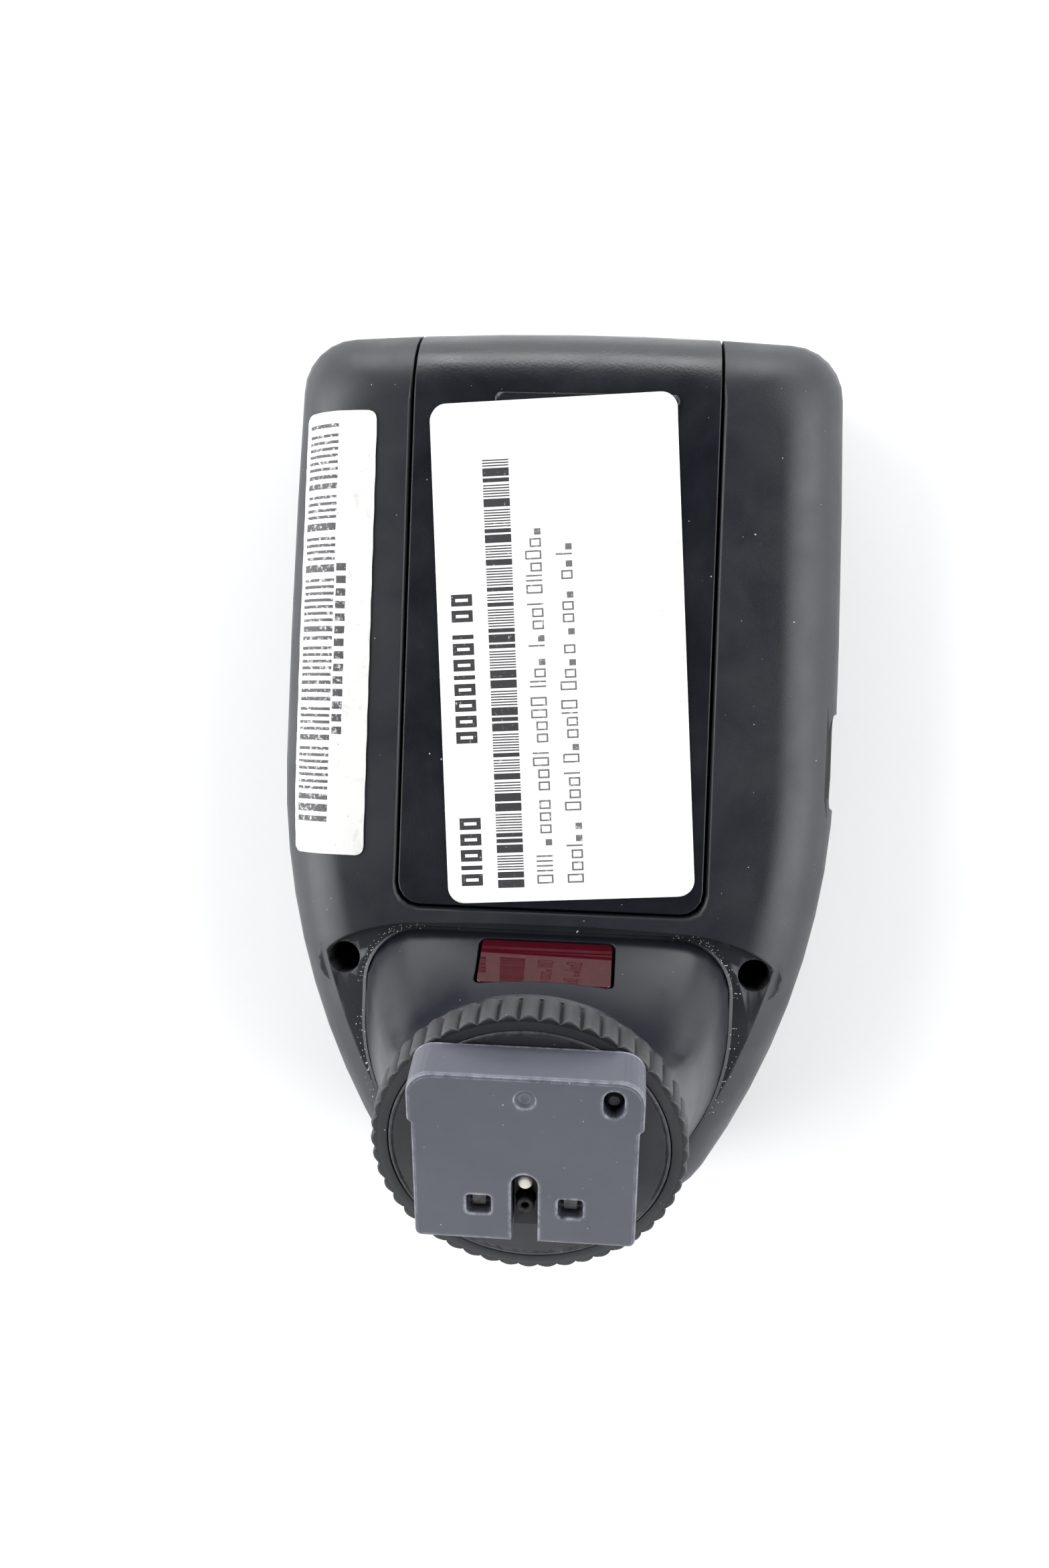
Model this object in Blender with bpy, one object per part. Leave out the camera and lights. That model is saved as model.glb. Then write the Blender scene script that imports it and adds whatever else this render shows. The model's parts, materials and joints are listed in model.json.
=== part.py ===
"""Wireless flash trigger lying on its display side, hot-shoe foot up.

Lengths are in millimetres and are scaled to metres when a mesh is made. +Y runs towards the wide battery end,
+Z towards the foot, and the origin is on the resting plane under the middle of the body.
"""

from math import atan2, cos, degrees, pi, radians, sin, sqrt

import bmesh
import bpy
from mathutils import Matrix, Vector

MM = 0.001
GAP = 0.3  # between pieces that touch on the real object
SEGMENTS_ROUND = 48

# Casing
HALF_LENGTH = 45.0
HALF_WIDTH = 28.8
SIDE_ARC = 75.0  # plan radius of the tapering sides
END_CORNER = 9.0  # plan corner radius at the narrow end
WIDE_CORNER = 5.6  # plan corner radius at the wide end
WIDE_TAPER = 0.7  # how much narrower each side is at the wide end
WIDE_BOW = 0.75  # how far the wide end bulges
PART_Z = 8.0  # parting plane of the two shells
SHOULDER_Z = 13.5  # where the rear shell starts to round over
BACK_Z = 22.5  # flat back
SIDE_ROUND = 7.0
END_ROUND = 7.7
WALL = 1.8
CEILING_Z = 20.1  # inner face of the rear shell

# Display side
RECESS_Z = 1.5  # control panel's outer face, sunk behind the rim it rests on
PANEL_Z = 3.0  # control panel's inner face
RECESS_INSET = 2.8
KEY_TIP_Z = 0.7
KEY_ROOT_Z = 3.4
WINDOW_CENTRE = (-1.5, 21.0)
WINDOW_SIZE = (37.0, 34.0)
DIAL_CENTRE = (-7.5, -20.5)
DIAL_RADIUS = 9.6
SET_RADIUS = 4.8
KEYS = {
    "group_key_1": (22.3, 35.0, 4.6, 4.6),
    "group_key_2": (22.3, 28.0, 4.6, 4.6),
    "group_key_3": (22.3, 21.0, 4.6, 4.6),
    "group_key_4": (22.3, 14.0, 4.6, 4.6),
    "group_key_5": (22.3, 7.0, 4.6, 4.6),
    "function_key_1": (12.6, -1.5, 7.4, 3.4),
    "function_key_2": (3.2, -1.5, 7.4, 3.4),
    "function_key_3": (-6.2, -1.5, 7.4, 3.4),
    "function_key_4": (-15.6, -1.5, 7.4, 3.4),
    "mode_key": (11.0, -11.5, 8.0, 4.2),
    "menu_key": (11.0, -19.5, 8.0, 4.2),
    "zoom_key": (11.0, -27.5, 8.0, 4.2),
    "test_button": (2.0, -36.5, 5.6, 5.6),
}
LAMP_CENTRE = (-6.5, -36.5)
BOARD = ((-15, -38), (15, -38), (16.5, -13), (24.5, -13), (24.5, 41), (-24.5, 41), (-24.5, -13), (-16.5, -13))
BOARD_Z = (4.9, 5.65)
ANTENNA = ((-8, 41.2, 8.6), (8, 42.2, 12.6))  # low and high corners
MEMBRANE_RIGHT = ((-12, -40.5), (10, -40.5), (16.5, -32), (16.5, -14.5), (25, -14.5), (25, 38.5))
MEMBRANE_LEFT = ((18.6, 38.5), (18.6, 1.6), (-20.5, 1.6), (-20.5, -14.5), (-17.5, -14.5), (-17.5, -32))
MEMBRANE_Z = (4.0, 4.6)
MEMBRANE_HOLE = 7.4
DIAL_HEIGHTS = (0.45, 0.9, 2.9)
DIAL_STEPS = 72
ENCODER_SIZE = (10.0, 1.5)
ENCODER_Z = (3.75, 4.65)

# Battery door and bay
DOOR_HALF_WIDTH = 15.2
DOOR_FOOT_Y = -14.0
DOOR_END_Z = 13.5  # lower edge of the door where it wraps over the wide end
DOOR_UNDER_Z = 21.2
DOOR_CORNER = 2.2
DOOR_LIP = 0.3  # chamfer on the shell round the door
CELL_RADIUS = 7.1
CELL_Z = 13.85
CELL_X = 7.3
CELL_ENDS = (-12.4, 36.8)
NUB_RADIUS = 2.7
NUB_LENGTH = 1.1
SPRING_STEPS = 30
SPRING_TURNS = 2.5
SPRING_RADII = (2.2, 4.0)
SPRING_ENDS = (0.6, 1.7)
SPRING_WIRE = 0.28
PLATE_HALF_WIDTH = 4.5
PLATE_THICK = 0.4
BAY_HALF_WIDTH = 16.2
BAY_ENDS = (-15.9, 40.5)
BAY_WALL = 1.2
BAY_FLOOR_Z = (5.95, 6.5)
BAY_TOP_Z = 17.0

GRIP_BAR = (2.0, 36.2, 18.0, 1.1)  # x, y, length and width
LABEL_CENTRE = (0.4, 11.7)
LABEL_SIZE = (24.3, 49.2)
LABEL_TURN = 4.2
LABEL_CORNER = 1.6
LABEL_THICK = 0.12
LABEL_LIFT = 0.06
DRAPE_LIFT = 0.2
SERIAL_LOW = (-26.6, -9.3)
SERIAL_HIGH = (-18.7, 34.8)
SERIAL_GRID = (9, 12)

# Ledge round the neck, with its two screw wells
LEDGE_Z = 21.3
LEDGE_FRONT_Y = -15.8
LEDGE_INSET = 2.5
LEDGE_CORNER = (11.0, 5.2)  # half axes of the elliptical corners round the wells
LEDGE_BOW = 0.25
SCREW_X = 20.5
SCREW_Y = -19.7
WELL_RADIUS = 1.6
WELL_FLOOR_Z = 12.5

# Neck
NECK_FOOT_Z = 19.7
NECK_GAP = 0.12  # between the neck and its pocket
NECK_FRONT_Y = -16.5
NECK_HALF_WIDTH = 18.2
NECK_CORNER = 5.5
NECK_SIDE_Y = -25.0
NECK_TAIL_RADIUS = 20.0
NECK_TAIL_SWEEP = 38.0
NECK_TAIL_CORNER = 5.0
NECK_MIDDLE_Y = -28.0
NECK_TOP_RADIUS = 12.3
NECK_SCOOP = 3.6  # how far the front wall leans back before it meets the collar
NECK_SCOOP_Y = -18.0  # from here forwards the scoop is full
NECK_HEIGHTS = (0.0, 0.07, 0.16, 0.28, 0.42, 0.6, 0.8, 1.0)
NECK_STEPS = 60
COLLAR_RADIUS = 13.0
COLLAR_HEIGHT = 1.2

# Shoe axis: the ring's outer face centre, tilted towards the narrow end
SHOE_Y = -32.1
SHOE_Z = 42.0
SHOE_TILT = 24.5
RING_RADIUS = 13.65
RING_BORE = 12.15
RING_HEIGHT = 3.0
FLUTES = 48
FLUTE_DEPTH = 0.35
HUB_RADIUS = 11.85

# Foot, in the shoe axis frame: x across, y along the foot, z out of the ring's face
FOOT_TOP = 4.4
RAIL_HALF_WIDTH = 9.3
RAIL_BOTTOM = 2.4
STEM_HALF_WIDTH = 6.2
FOOT_BACK = 10.7
FOOT_FRONT = -6.3
BLOCK_HALF_WIDTH = 9.65
BLOCK_START = 5.7
BLOCK_CORNER = 2.0
FOOT_BASE = 0.15
SLOT_HALF_WIDTH = 1.12
SLOT_END = 0.95
CARRIER_TOP = 2.6
PIN_PLACE = (7.13, 8.55)
SYNC_PLACE = (0.0, -3.0)
GUIDE_PLACE = (0.0, -0.55)
CONTACT_X = 3.83
CONTACT_Y = -2.45
FOOT_SCREW_X = 4.6
FOOT_SCREW_Y = 2.6

# Red assist window in the neck's front wall
ASSIST_CENTRE = (0.0, -18.55, 25.0)
ASSIST_SIZE = (13.2, 6.4)
ASSIST_THICK = 1.3
ASSIST_SLOPE = 62.5  # wall's angle to the back plane

# Sides
PORT_Y = 1.6
PORT_Z = 14.2
PORT_WIDTH = 8.4
PORT_HEIGHT = 3.2
PORT_RECESS_X = 27.1
PORT_RECESS = ((27.1, 0.0), (27.5, 0.0), (28.1, 0.45), (29.0, 0.6), (31.8, 0.6))  # x and growth
PORT_RECESS_SIZE = (8.8, 7.6, 1.2)  # length, height and corner radius
PORT_RECESS_Z = 14.8
JACK_Y = 12.0
JACK_Z = 12.6
JACK_HOLE_RADIUS = 2.5
BEZEL_PLACE = (7.0, 12.0)  # y and z
BEZEL_SIZE = (20.6, 6.6, 1.0)
BEZEL_FLOOR_X = 27.95
SLIDER_X = 29.05
SLIDER_Z = 11.2
SLIDER_TRAVEL = 3.5
SLIDERS = {"power_slider": 15.9, "assist_slider": -0.3}


def clear_scene():
    for obj in list(bpy.data.objects):
        bpy.data.objects.remove(obj, do_unlink=True)


def material(name, colour, roughness, metallic=0.0):
    made = bpy.data.materials.new(name)
    made.use_nodes = True
    shader = made.node_tree.nodes["Principled BSDF"]
    shader.inputs["Base Color"].default_value = (*colour, 1.0)
    shader.inputs["Roughness"].default_value = roughness
    shader.inputs["Metallic"].default_value = metallic
    return made


def make_materials():
    return {
        "housing": material("housing", (0.035, 0.037, 0.042), 0.5),
        "door": material("door", (0.03, 0.032, 0.037), 0.38),
        "ring": material("ring", (0.06, 0.062, 0.066), 0.45),
        "foot": material("foot", (0.13, 0.13, 0.16), 0.45),
        "inner": material("inner", (0.02, 0.02, 0.022), 0.6),
        "red_lens": material("red_lens", (0.55, 0.02, 0.03), 0.1),
        "clear_lens": material("clear_lens", (0.05, 0.06, 0.06), 0.08),
        "display": material("display", (0.25, 0.3, 0.26), 0.3),
        "board": material("board", (0.02, 0.12, 0.06), 0.45),
        "keys": material("keys", (0.08, 0.08, 0.085), 0.6),
        "steel": material("steel", (0.55, 0.55, 0.56), 0.3, 1.0),
        "cell": material("cell", (0.1, 0.3, 0.35), 0.35),
        "cream": material("cream", (0.85, 0.82, 0.74), 0.4),
        "label": material("label", (0.85, 0.85, 0.83), 0.5),
    }


def arc(x, y, radius, start, end, steps):
    """Points of an arc in the XY plane, both ends included; angles in degrees."""
    turns = [radians(start + (end - start) * step / steps) for step in range(steps + 1)]
    return [(x + radius * cos(turn), y + radius * sin(turn)) for turn in turns]


def circle(radius, x=0.0, y=0.0, steps=SEGMENTS_ROUND):
    return arc(x, y, radius, 0, 360, steps)[:-1]


def rounded_rectangle(width, height, radius, x=0.0, y=0.0, steps=4):
    across, along = width / 2 - radius, height / 2 - radius
    points = []
    for quarter, (side, end) in enumerate([(1, 1), (-1, 1), (-1, -1), (1, -1)]):
        corner = (x + side * across, y + end * along)
        points += arc(*corner, radius, 90 * quarter, 90 * quarter + 90, steps)
    return points


def mirrored(right):
    """A closed outline from its right half, which starts and ends near x = 0."""
    left = [(-x, y) for x, y in reversed(right) if x > 1e-6]
    return right + left


def body_outline():
    """Plan outline: a short straight narrow end, long tapering arcs and a bowed wide end."""
    arc_x = HALF_WIDTH - SIDE_ARC
    corner_y = END_CORNER - HALF_LENGTH
    corner_x = arc_x + sqrt((SIDE_ARC - END_CORNER) ** 2 - corner_y**2)
    tangent = degrees(atan2(corner_y, corner_x - arc_x))
    right = arc(corner_x, corner_y, END_CORNER, -90, tangent, 5)
    right += arc(arc_x, 0, SIDE_ARC, tangent, 0, 9)[1:]
    wide_y = HALF_LENGTH - WIDE_BOW - WIDE_CORNER
    for part in (0.35, 0.7):
        right.append((HALF_WIDTH - WIDE_TAPER * part**2, wide_y * part))
    wide_x = HALF_WIDTH - WIDE_TAPER - WIDE_CORNER
    right += arc(wide_x, wide_y, WIDE_CORNER, 0, 88, 6)
    for part in (0.66, 0.33, 0.0):
        right.append((wide_x * part, HALF_LENGTH - WIDE_BOW * part**2))
    return mirrored(right)


def ledge_outline():
    """The sunken ledge: square-ended towards the door, narrowing with the casing's sides."""
    arc_x = HALF_WIDTH - SIDE_ARC
    radius = SIDE_ARC - LEDGE_INSET
    across, along = LEDGE_CORNER
    start_y, corner_y = -HALF_LENGTH - 2, LEDGE_FRONT_Y - along
    right = []
    for step in range(6):
        y = start_y + (corner_y - start_y) * step / 5
        right.append((arc_x + sqrt(radius**2 - y**2), y))
    corner_x = arc_x + sqrt(radius**2 - corner_y**2) - across
    right += [(corner_x + across * x, corner_y + along * y) for x, y in arc(0, 0, 1, 12, 90, 10)]
    right.append((corner_x * 0.4, LEDGE_FRONT_Y + LEDGE_BOW))
    return mirrored(right)


def neck_outline(grow=0.0):
    """The neck where it meets the ledge, grown outwards by a clearance."""
    tail_x = NECK_HALF_WIDTH - NECK_TAIL_RADIUS
    sweep = radians(NECK_TAIL_SWEEP)
    reach = NECK_TAIL_RADIUS - NECK_TAIL_CORNER
    end_x, end_y = tail_x + reach * cos(sweep), NECK_SIDE_Y - reach * sin(sweep)
    right = arc(end_x, end_y, NECK_TAIL_CORNER + grow, -90, -NECK_TAIL_SWEEP, 3)
    right += arc(tail_x, NECK_SIDE_Y, NECK_TAIL_RADIUS + grow, -NECK_TAIL_SWEEP, 0, 5)[1:]
    corner_x = NECK_HALF_WIDTH - NECK_CORNER
    corner_y = NECK_FRONT_Y - NECK_CORNER
    right += arc(corner_x, corner_y, NECK_CORNER + grow, 0, 90, 7)
    right.append((corner_x * 0.5, NECK_FRONT_Y + grow))
    return mirrored(right)


def loft(mesh, rings):
    """Joins rings of equal length into one closed skin with flat ends."""
    rows = [[mesh.verts.new(point) for point in ring] for ring in rings]
    count = len(rows[0])
    for lower, upper in zip(rows, rows[1:]):
        for index in range(count):
            after = (index + 1) % count
            mesh.faces.new((lower[index], lower[after], upper[after], upper[index]))
    mesh.faces.new(rows[0][::-1])
    mesh.faces.new(rows[-1])


def prism(mesh, outline, low, high):
    loft(mesh, [[(x, y, z) for x, y in outline] for z in (low, high)])


def slab(mesh, low, high):
    """A plain box between two corners."""
    prism(mesh, [(low[0], low[1]), (high[0], low[1]), (high[0], high[1]), (low[0], high[1])], low[2], high[2])


def turned(mesh, profile, steps=SEGMENTS_ROUND, x=0.0, y=0.0):
    """A solid of revolution about Z: profile is (radius, z) from the bottom up, closed by flat ends."""
    loft(mesh, [[(px, py, z) for px, py in circle(radius, x, y, steps)] for radius, z in profile])


def tube(mesh, outer, inner):
    """Joins an outer and an inner stack of rings, equal in number, into a closed tube."""
    loop = [[mesh.verts.new(point) for point in ring] for ring in outer + inner[::-1]]
    count = len(loop[0])
    for index, lower in enumerate(loop):
        upper = loop[(index + 1) % len(loop)]
        for place in range(count):
            after = (place + 1) % count
            mesh.faces.new((lower[place], lower[after], upper[after], upper[place]))


def flat(outline, z):
    return [(x, y, z) for x, y in outline]


def turn_mesh(mesh, matrix):
    bmesh.ops.transform(mesh, matrix=matrix, verts=mesh.verts)


def scaled_mesh(name, mesh):
    bmesh.ops.recalc_face_normals(mesh, faces=mesh.faces)
    bmesh.ops.scale(mesh, vec=(MM, MM, MM), verts=mesh.verts)
    data = bpy.data.meshes.new(name)
    mesh.to_mesh(data)
    mesh.free()
    return data


def piece(name, mesh, finish, parent=None, place=(0, 0, 0), smooth=32):
    """Makes a named object from a mesh in millimetres, at a place in its parent's frame."""
    data = scaled_mesh(name, mesh)
    data.materials.append(finish)
    data.shade_smooth()
    data.set_sharp_from_angle(angle=radians(smooth))
    obj = bpy.data.objects.new(name, data)
    bpy.context.scene.collection.objects.link(obj)
    obj.parent = parent
    obj.location = Vector(place) * MM
    return obj


def cutter(name, mesh, parent=None, place=(0, 0, 0)):
    obj = bpy.data.objects.new(name, scaled_mesh(name, mesh))
    bpy.context.scene.collection.objects.link(obj)
    obj.parent = parent
    obj.location = Vector(place) * MM
    obj.hide_render = True
    obj.display_type = "WIRE"
    return obj


def combine(obj, other, operation="DIFFERENCE"):
    modifier = obj.modifiers.new(other.name, "BOOLEAN")
    modifier.operation = operation
    modifier.object = other
    modifier.solver = "EXACT"


def casing_ring(outline, z, inset_x, inset_y):
    across, along = 1 - inset_x / HALF_WIDTH, 1 - inset_y / HALF_LENGTH
    return [(x * across, y * along, z) for x, y in outline]


def rear_rings(inwards=0.0, back_z=BACK_Z, start_z=PART_Z + GAP / 2):
    """The rear shell's skin: upright sides, then a quarter turn onto the flat back."""
    outline = body_outline()
    rings = [
        casing_ring(outline, start_z, inwards, inwards),
        casing_ring(outline, SHOULDER_Z, inwards + 0.2, inwards + 0.3),
    ]
    for step in range(1, 7):
        turn = radians(90 * step / 6)
        side = inwards + 0.2 + SIDE_ROUND * (1 - cos(turn))
        end = inwards + 0.3 + END_ROUND * (1 - cos(turn))
        rings.append(casing_ring(outline, SHOULDER_Z + (back_z - SHOULDER_Z) * sin(turn), side, end))
    return rings


def door_outline(grow):
    """Plan of the battery door, open-ended past the wide end."""
    width = 2 * (DOOR_HALF_WIDTH + grow)
    foot = DOOR_FOOT_Y - grow
    length = HALF_LENGTH + 10 - foot
    return rounded_rectangle(width, length, DOOR_CORNER, 0, foot + length / 2)


def door_area(mesh, grow):
    """The block of space that the battery door takes out of the rear shell."""
    prism(mesh, door_outline(grow), DOOR_END_Z - grow, BACK_Z + 5)


def side_hole(mesh, outline, low_x, high_x, y, z):
    """A prism through a side wall: the outline's x runs along Y and its y runs up."""
    loft(mesh, [[(x, y + along, z + up) for along, up in outline] for x in (low_x, high_x)])


def port_recess(mesh):
    """The hollow round the port, with eased edges where it meets the wall."""
    length, height, corner = PORT_RECESS_SIZE
    rings = []
    for x, grow in PORT_RECESS:
        outline = rounded_rectangle(length + 2 * grow, height + 2 * grow, corner + grow)
        rings.append([(x, PORT_Y + along, PORT_RECESS_Z + up) for along, up in outline])
    loft(mesh, rings)


def bezel_block(mesh, grow):
    length, height, corner = BEZEL_SIZE
    outline = rounded_rectangle(length + 2 * grow, height + 2 * grow, corner)
    side_hole(mesh, outline, BEZEL_FLOOR_X - grow, HALF_WIDTH + 3, *BEZEL_PLACE)


def make_rear_housing(finish):
    mesh = bmesh.new()
    loft(mesh, rear_rings())
    housing = piece("rear_housing", mesh, finish)

    mesh = bmesh.new()
    loft(mesh, rear_rings(WALL, CEILING_Z, PART_Z - 2))
    combine(housing, cutter("rear_cavity", mesh))

    mesh = bmesh.new()
    for side in (-1, 1):
        turned(mesh, [(2.9, PART_Z + 1.2), (2.9, LEDGE_Z - 0.4)], 24, side * SCREW_X, SCREW_Y)
    combine(housing, cutter("screw_bosses", mesh), "UNION")

    mesh = bmesh.new()
    prism(mesh, ledge_outline(), LEDGE_Z, BACK_Z + 5)
    combine(housing, cutter("ledge_pocket", mesh))

    mesh = bmesh.new()
    door_area(mesh, GAP / 2)
    prism(mesh, neck_outline(NECK_GAP), CEILING_Z - 3, LEDGE_Z + 0.6)
    for side in (-1, 1):
        well = [(1.2, PART_Z - 1), (1.2, WELL_FLOOR_Z), (WELL_RADIUS, WELL_FLOOR_Z), (WELL_RADIUS, LEDGE_Z + 0.6)]
        turned(mesh, well, 24, side * SCREW_X, SCREW_Y)
    port_recess(mesh)
    side_hole(mesh, circle(JACK_HOLE_RADIUS, steps=24), HALF_WIDTH - 4, HALF_WIDTH + 3, JACK_Y, JACK_Z)
    for y in SLIDERS.values():
        slot = rounded_rectangle(3.2 + SLIDER_TRAVEL + 2 * GAP, 2.2 + 2 * GAP, 0.5)
        side_hole(mesh, slot, -HALF_WIDTH - 3, -HALF_WIDTH + 4, y - SLIDER_TRAVEL / 2, SLIDER_Z)
    combine(housing, cutter("rear_openings", mesh))

    mesh = bmesh.new()
    mouth = rounded_rectangle(PORT_WIDTH + 2 * GAP, PORT_HEIGHT + 2 * GAP, 1.6)
    side_hole(mesh, mouth, HALF_WIDTH - 5, PORT_RECESS_X + 0.5, PORT_Y, PORT_Z)
    combine(housing, cutter("port_mouth", mesh))

    mesh = bmesh.new()
    lip = ((-DOOR_LIP - 0.3, -0.3), (1.0, DOOR_LIP + 1.0))
    loft(mesh, [flat(door_outline(GAP / 2 + grow), BACK_Z + level) for level, grow in lip])
    combine(housing, cutter("door_lip", mesh))

    mesh = bmesh.new()
    bezel_block(mesh, GAP / 2)
    combine(housing, cutter("bezel_pocket", mesh))
    return housing


def make_battery_door(finish):
    """Cut from the same skin as the rear shell, so that the two are flush."""
    origin = (0, (DOOR_FOOT_Y + HALF_LENGTH) / 2, BACK_Z)
    back = Matrix.Translation([-value for value in origin])

    mesh = bmesh.new()
    loft(mesh, rear_rings())
    turn_mesh(mesh, back)
    door = piece("battery_door", mesh, finish, None, origin)

    mesh = bmesh.new()
    door_area(mesh, -GAP / 2)
    turn_mesh(mesh, back)
    combine(door, cutter("door_outline", mesh, None, origin), "INTERSECT")

    mesh = bmesh.new()
    loft(mesh, rear_rings(BACK_Z - DOOR_UNDER_Z, DOOR_UNDER_Z, PART_Z - 2))
    turn_mesh(mesh, back)
    combine(door, cutter("door_hollow", mesh, None, origin))

    mesh = bmesh.new()
    x, y, length, width = GRIP_BAR
    prism(mesh, rounded_rectangle(length, width, 0.5, x, y), BACK_Z - 0.9, BACK_Z + 0.35)
    turn_mesh(mesh, back)
    combine(door, cutter("grip_bar", mesh, None, origin), "UNION")


def make_front_housing(finish):
    outline = body_outline()
    skin = [(0.0, 1.5), (0.4, 0.75), (1.3, 0.15), (2.6, 0.0), (PART_Z - GAP / 2, 0.0)]
    mesh = bmesh.new()
    loft(mesh, [casing_ring(outline, z, inset, inset) for z, inset in skin])
    housing = piece("front_housing", mesh, finish)

    mesh = bmesh.new()
    loft(mesh, [casing_ring(outline, z, WALL, WALL) for z in (PANEL_Z, PART_Z + 2)])
    combine(housing, cutter("front_cavity", mesh))

    mesh = bmesh.new()
    loft(mesh, [casing_ring(outline, z, RECESS_INSET, RECESS_INSET) for z in (-2, RECESS_Z)])
    combine(housing, cutter("panel_recess", mesh))

    mesh = bmesh.new()
    for side in (-1, 1):
        turned(mesh, [(2.5, PANEL_Z - 0.5), (2.5, PART_Z + 0.8)], 20, side * SCREW_X, SCREW_Y)
    combine(housing, cutter("front_bosses", mesh), "UNION")

    mesh = bmesh.new()
    width, height = WINDOW_SIZE
    prism(mesh, rounded_rectangle(width + 2 * GAP, height + 2 * GAP, 1.5, *WINDOW_CENTRE), 0.5, PANEL_Z + 1)
    for x, y, across, along in KEYS.values():
        prism(mesh, rounded_rectangle(across + 2 * GAP, along + 2 * GAP, 1.0, x, y, 3), 0.5, PANEL_Z + 1)
    turned(mesh, [(DIAL_RADIUS + 0.4, 0.5), (DIAL_RADIUS + 0.4, PANEL_Z + 1)], 36, *DIAL_CENTRE)
    turned(mesh, [(1.3, 0.5), (1.3, PANEL_Z + 1)], 16, *LAMP_CENTRE)
    for side in (-1, 1):
        turned(mesh, [(1.25, PANEL_Z + 0.6), (1.25, PART_Z + 3)], 16, side * SCREW_X, SCREW_Y)
    combine(housing, cutter("front_openings", mesh))


def shoe_frame():
    """An empty on the locking ring's axis: its Z runs out of the ring's face, its Y along the foot."""
    empty = bpy.data.objects.new("shoe_axis", None)
    bpy.context.scene.collection.objects.link(empty)
    empty.location = (0, SHOE_Y * MM, SHOE_Z * MM)
    empty.rotation_euler = (radians(SHOE_TILT), 0, 0)
    return empty


def in_shoe_frame(x, y, z):
    """A point of the shoe frame, in the object's own frame."""
    turn = radians(SHOE_TILT)
    return (x, SHOE_Y + y * cos(turn) - z * sin(turn), SHOE_Z + y * sin(turn) + z * cos(turn))


def neck_plan(inset):
    """The neck's outline at the ledge, sampled at even angles round its middle, with the angles themselves."""
    shrink = 1 - inset / NECK_HALF_WIDTH
    outline = neck_outline()
    edges = list(zip(outline, outline[1:] + outline[:1]))
    plan = []
    for step in range(NECK_STEPS):
        turn = 2 * pi * (step + 0.5) / NECK_STEPS
        ray = Vector((cos(turn), sin(turn)))
        for (x1, y1), (x2, y2) in edges:
            start = Vector((x1, y1 - NECK_MIDDLE_Y))
            edge = Vector((x2, y2 - NECK_MIDDLE_Y)) - start
            across = edge.cross(ray)
            along = ray.cross(start) / across if abs(across) > 1e-9 else -1
            point = start + edge * along
            if 0 <= along < 1 and point.dot(ray) > 0:
                plan.append((turn, point.x * shrink, NECK_MIDDLE_Y + point.y * shrink))
                break
    return plan


def neck_rings(inset, top_radius, low_z, top_level):
    """The neck's skin from the ledge up: its plan turns into a tilted circle, and its front wall is scooped."""
    plan = neck_plan(inset)
    top = [in_shoe_frame(top_radius * cos(turn), top_radius * sin(turn), top_level) for turn, _, _ in plan]
    rings = [[(x, y, low_z) for _, x, y in plan]]
    for height in NECK_HEIGHTS:
        ring = []
        for (_, x, y), (top_x, top_y, top_z) in zip(plan, top):
            front = min(max((y - NECK_SIDE_Y) / (NECK_SCOOP_Y - NECK_SIDE_Y), 0), 1)
            back = NECK_SCOOP * front * sin(pi * height)
            middle_y = y + (top_y - y) * height - back
            ring.append((x + (top_x - x) * height, middle_y, LEDGE_Z + (top_z - LEDGE_Z) * height))
        rings.append(ring)
    return rings


def make_neck(finish, shoe):
    collar = -RING_HEIGHT - GAP
    rings = neck_rings(0, NECK_TOP_RADIUS, NECK_FOOT_Z, collar - COLLAR_HEIGHT)
    turns = [turn for turn, _, _ in neck_plan(0)]
    for level in (collar - COLLAR_HEIGHT + 0.5, collar):
        rings.append([in_shoe_frame(COLLAR_RADIUS * cos(turn), COLLAR_RADIUS * sin(turn), level) for turn in turns])
    mesh = bmesh.new()
    loft(mesh, rings)
    neck = piece("shoe_neck", mesh, finish, smooth=50)

    mesh = bmesh.new()
    loft(mesh, neck_rings(WALL, NECK_TOP_RADIUS - WALL, NECK_FOOT_Z - 2, collar - COLLAR_HEIGHT - 1.5))
    combine(neck, cutter("neck_hollow", mesh))

    mesh = bmesh.new()
    width, height = ASSIST_SIZE
    prism(mesh, rounded_rectangle(width + GAP, height + GAP, 0.7, steps=2), -4, 3)
    turn_mesh(mesh, assist_matrix())
    combine(neck, cutter("assist_opening", mesh))

    mesh = bmesh.new()
    turned(mesh, [(1.8, -9), (1.8, 2)], 16)
    for side in (-1, 1):
        turned(mesh, [(1.25, -9), (1.25, 2)], 12, side * FOOT_SCREW_X, FOOT_SCREW_Y)
    combine(neck, cutter("neck_holes", mesh, shoe))


def assist_matrix():
    """Places the window's plane: its Z points out of the neck's sloping front wall."""
    lean = Matrix.Rotation(radians(-ASSIST_SLOPE), 4, "X")
    return Matrix.Translation(ASSIST_CENTRE) @ lean


def make_assist_light(finishes):
    width, height = ASSIST_SIZE
    mesh = bmesh.new()
    prism(mesh, rounded_rectangle(width - GAP, height - GAP, 0.55), -ASSIST_THICK, 0.0)
    turn_mesh(mesh, assist_matrix())
    piece("assist_window", mesh, finishes["red_lens"])

    mesh = bmesh.new()
    turned(mesh, [(1.5, -5.4), (1.5, -2.9), (1.1, -2.2), (0.5, -1.9)], 16)
    turn_mesh(mesh, assist_matrix())
    piece("assist_led", mesh, finishes["red_lens"])


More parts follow.
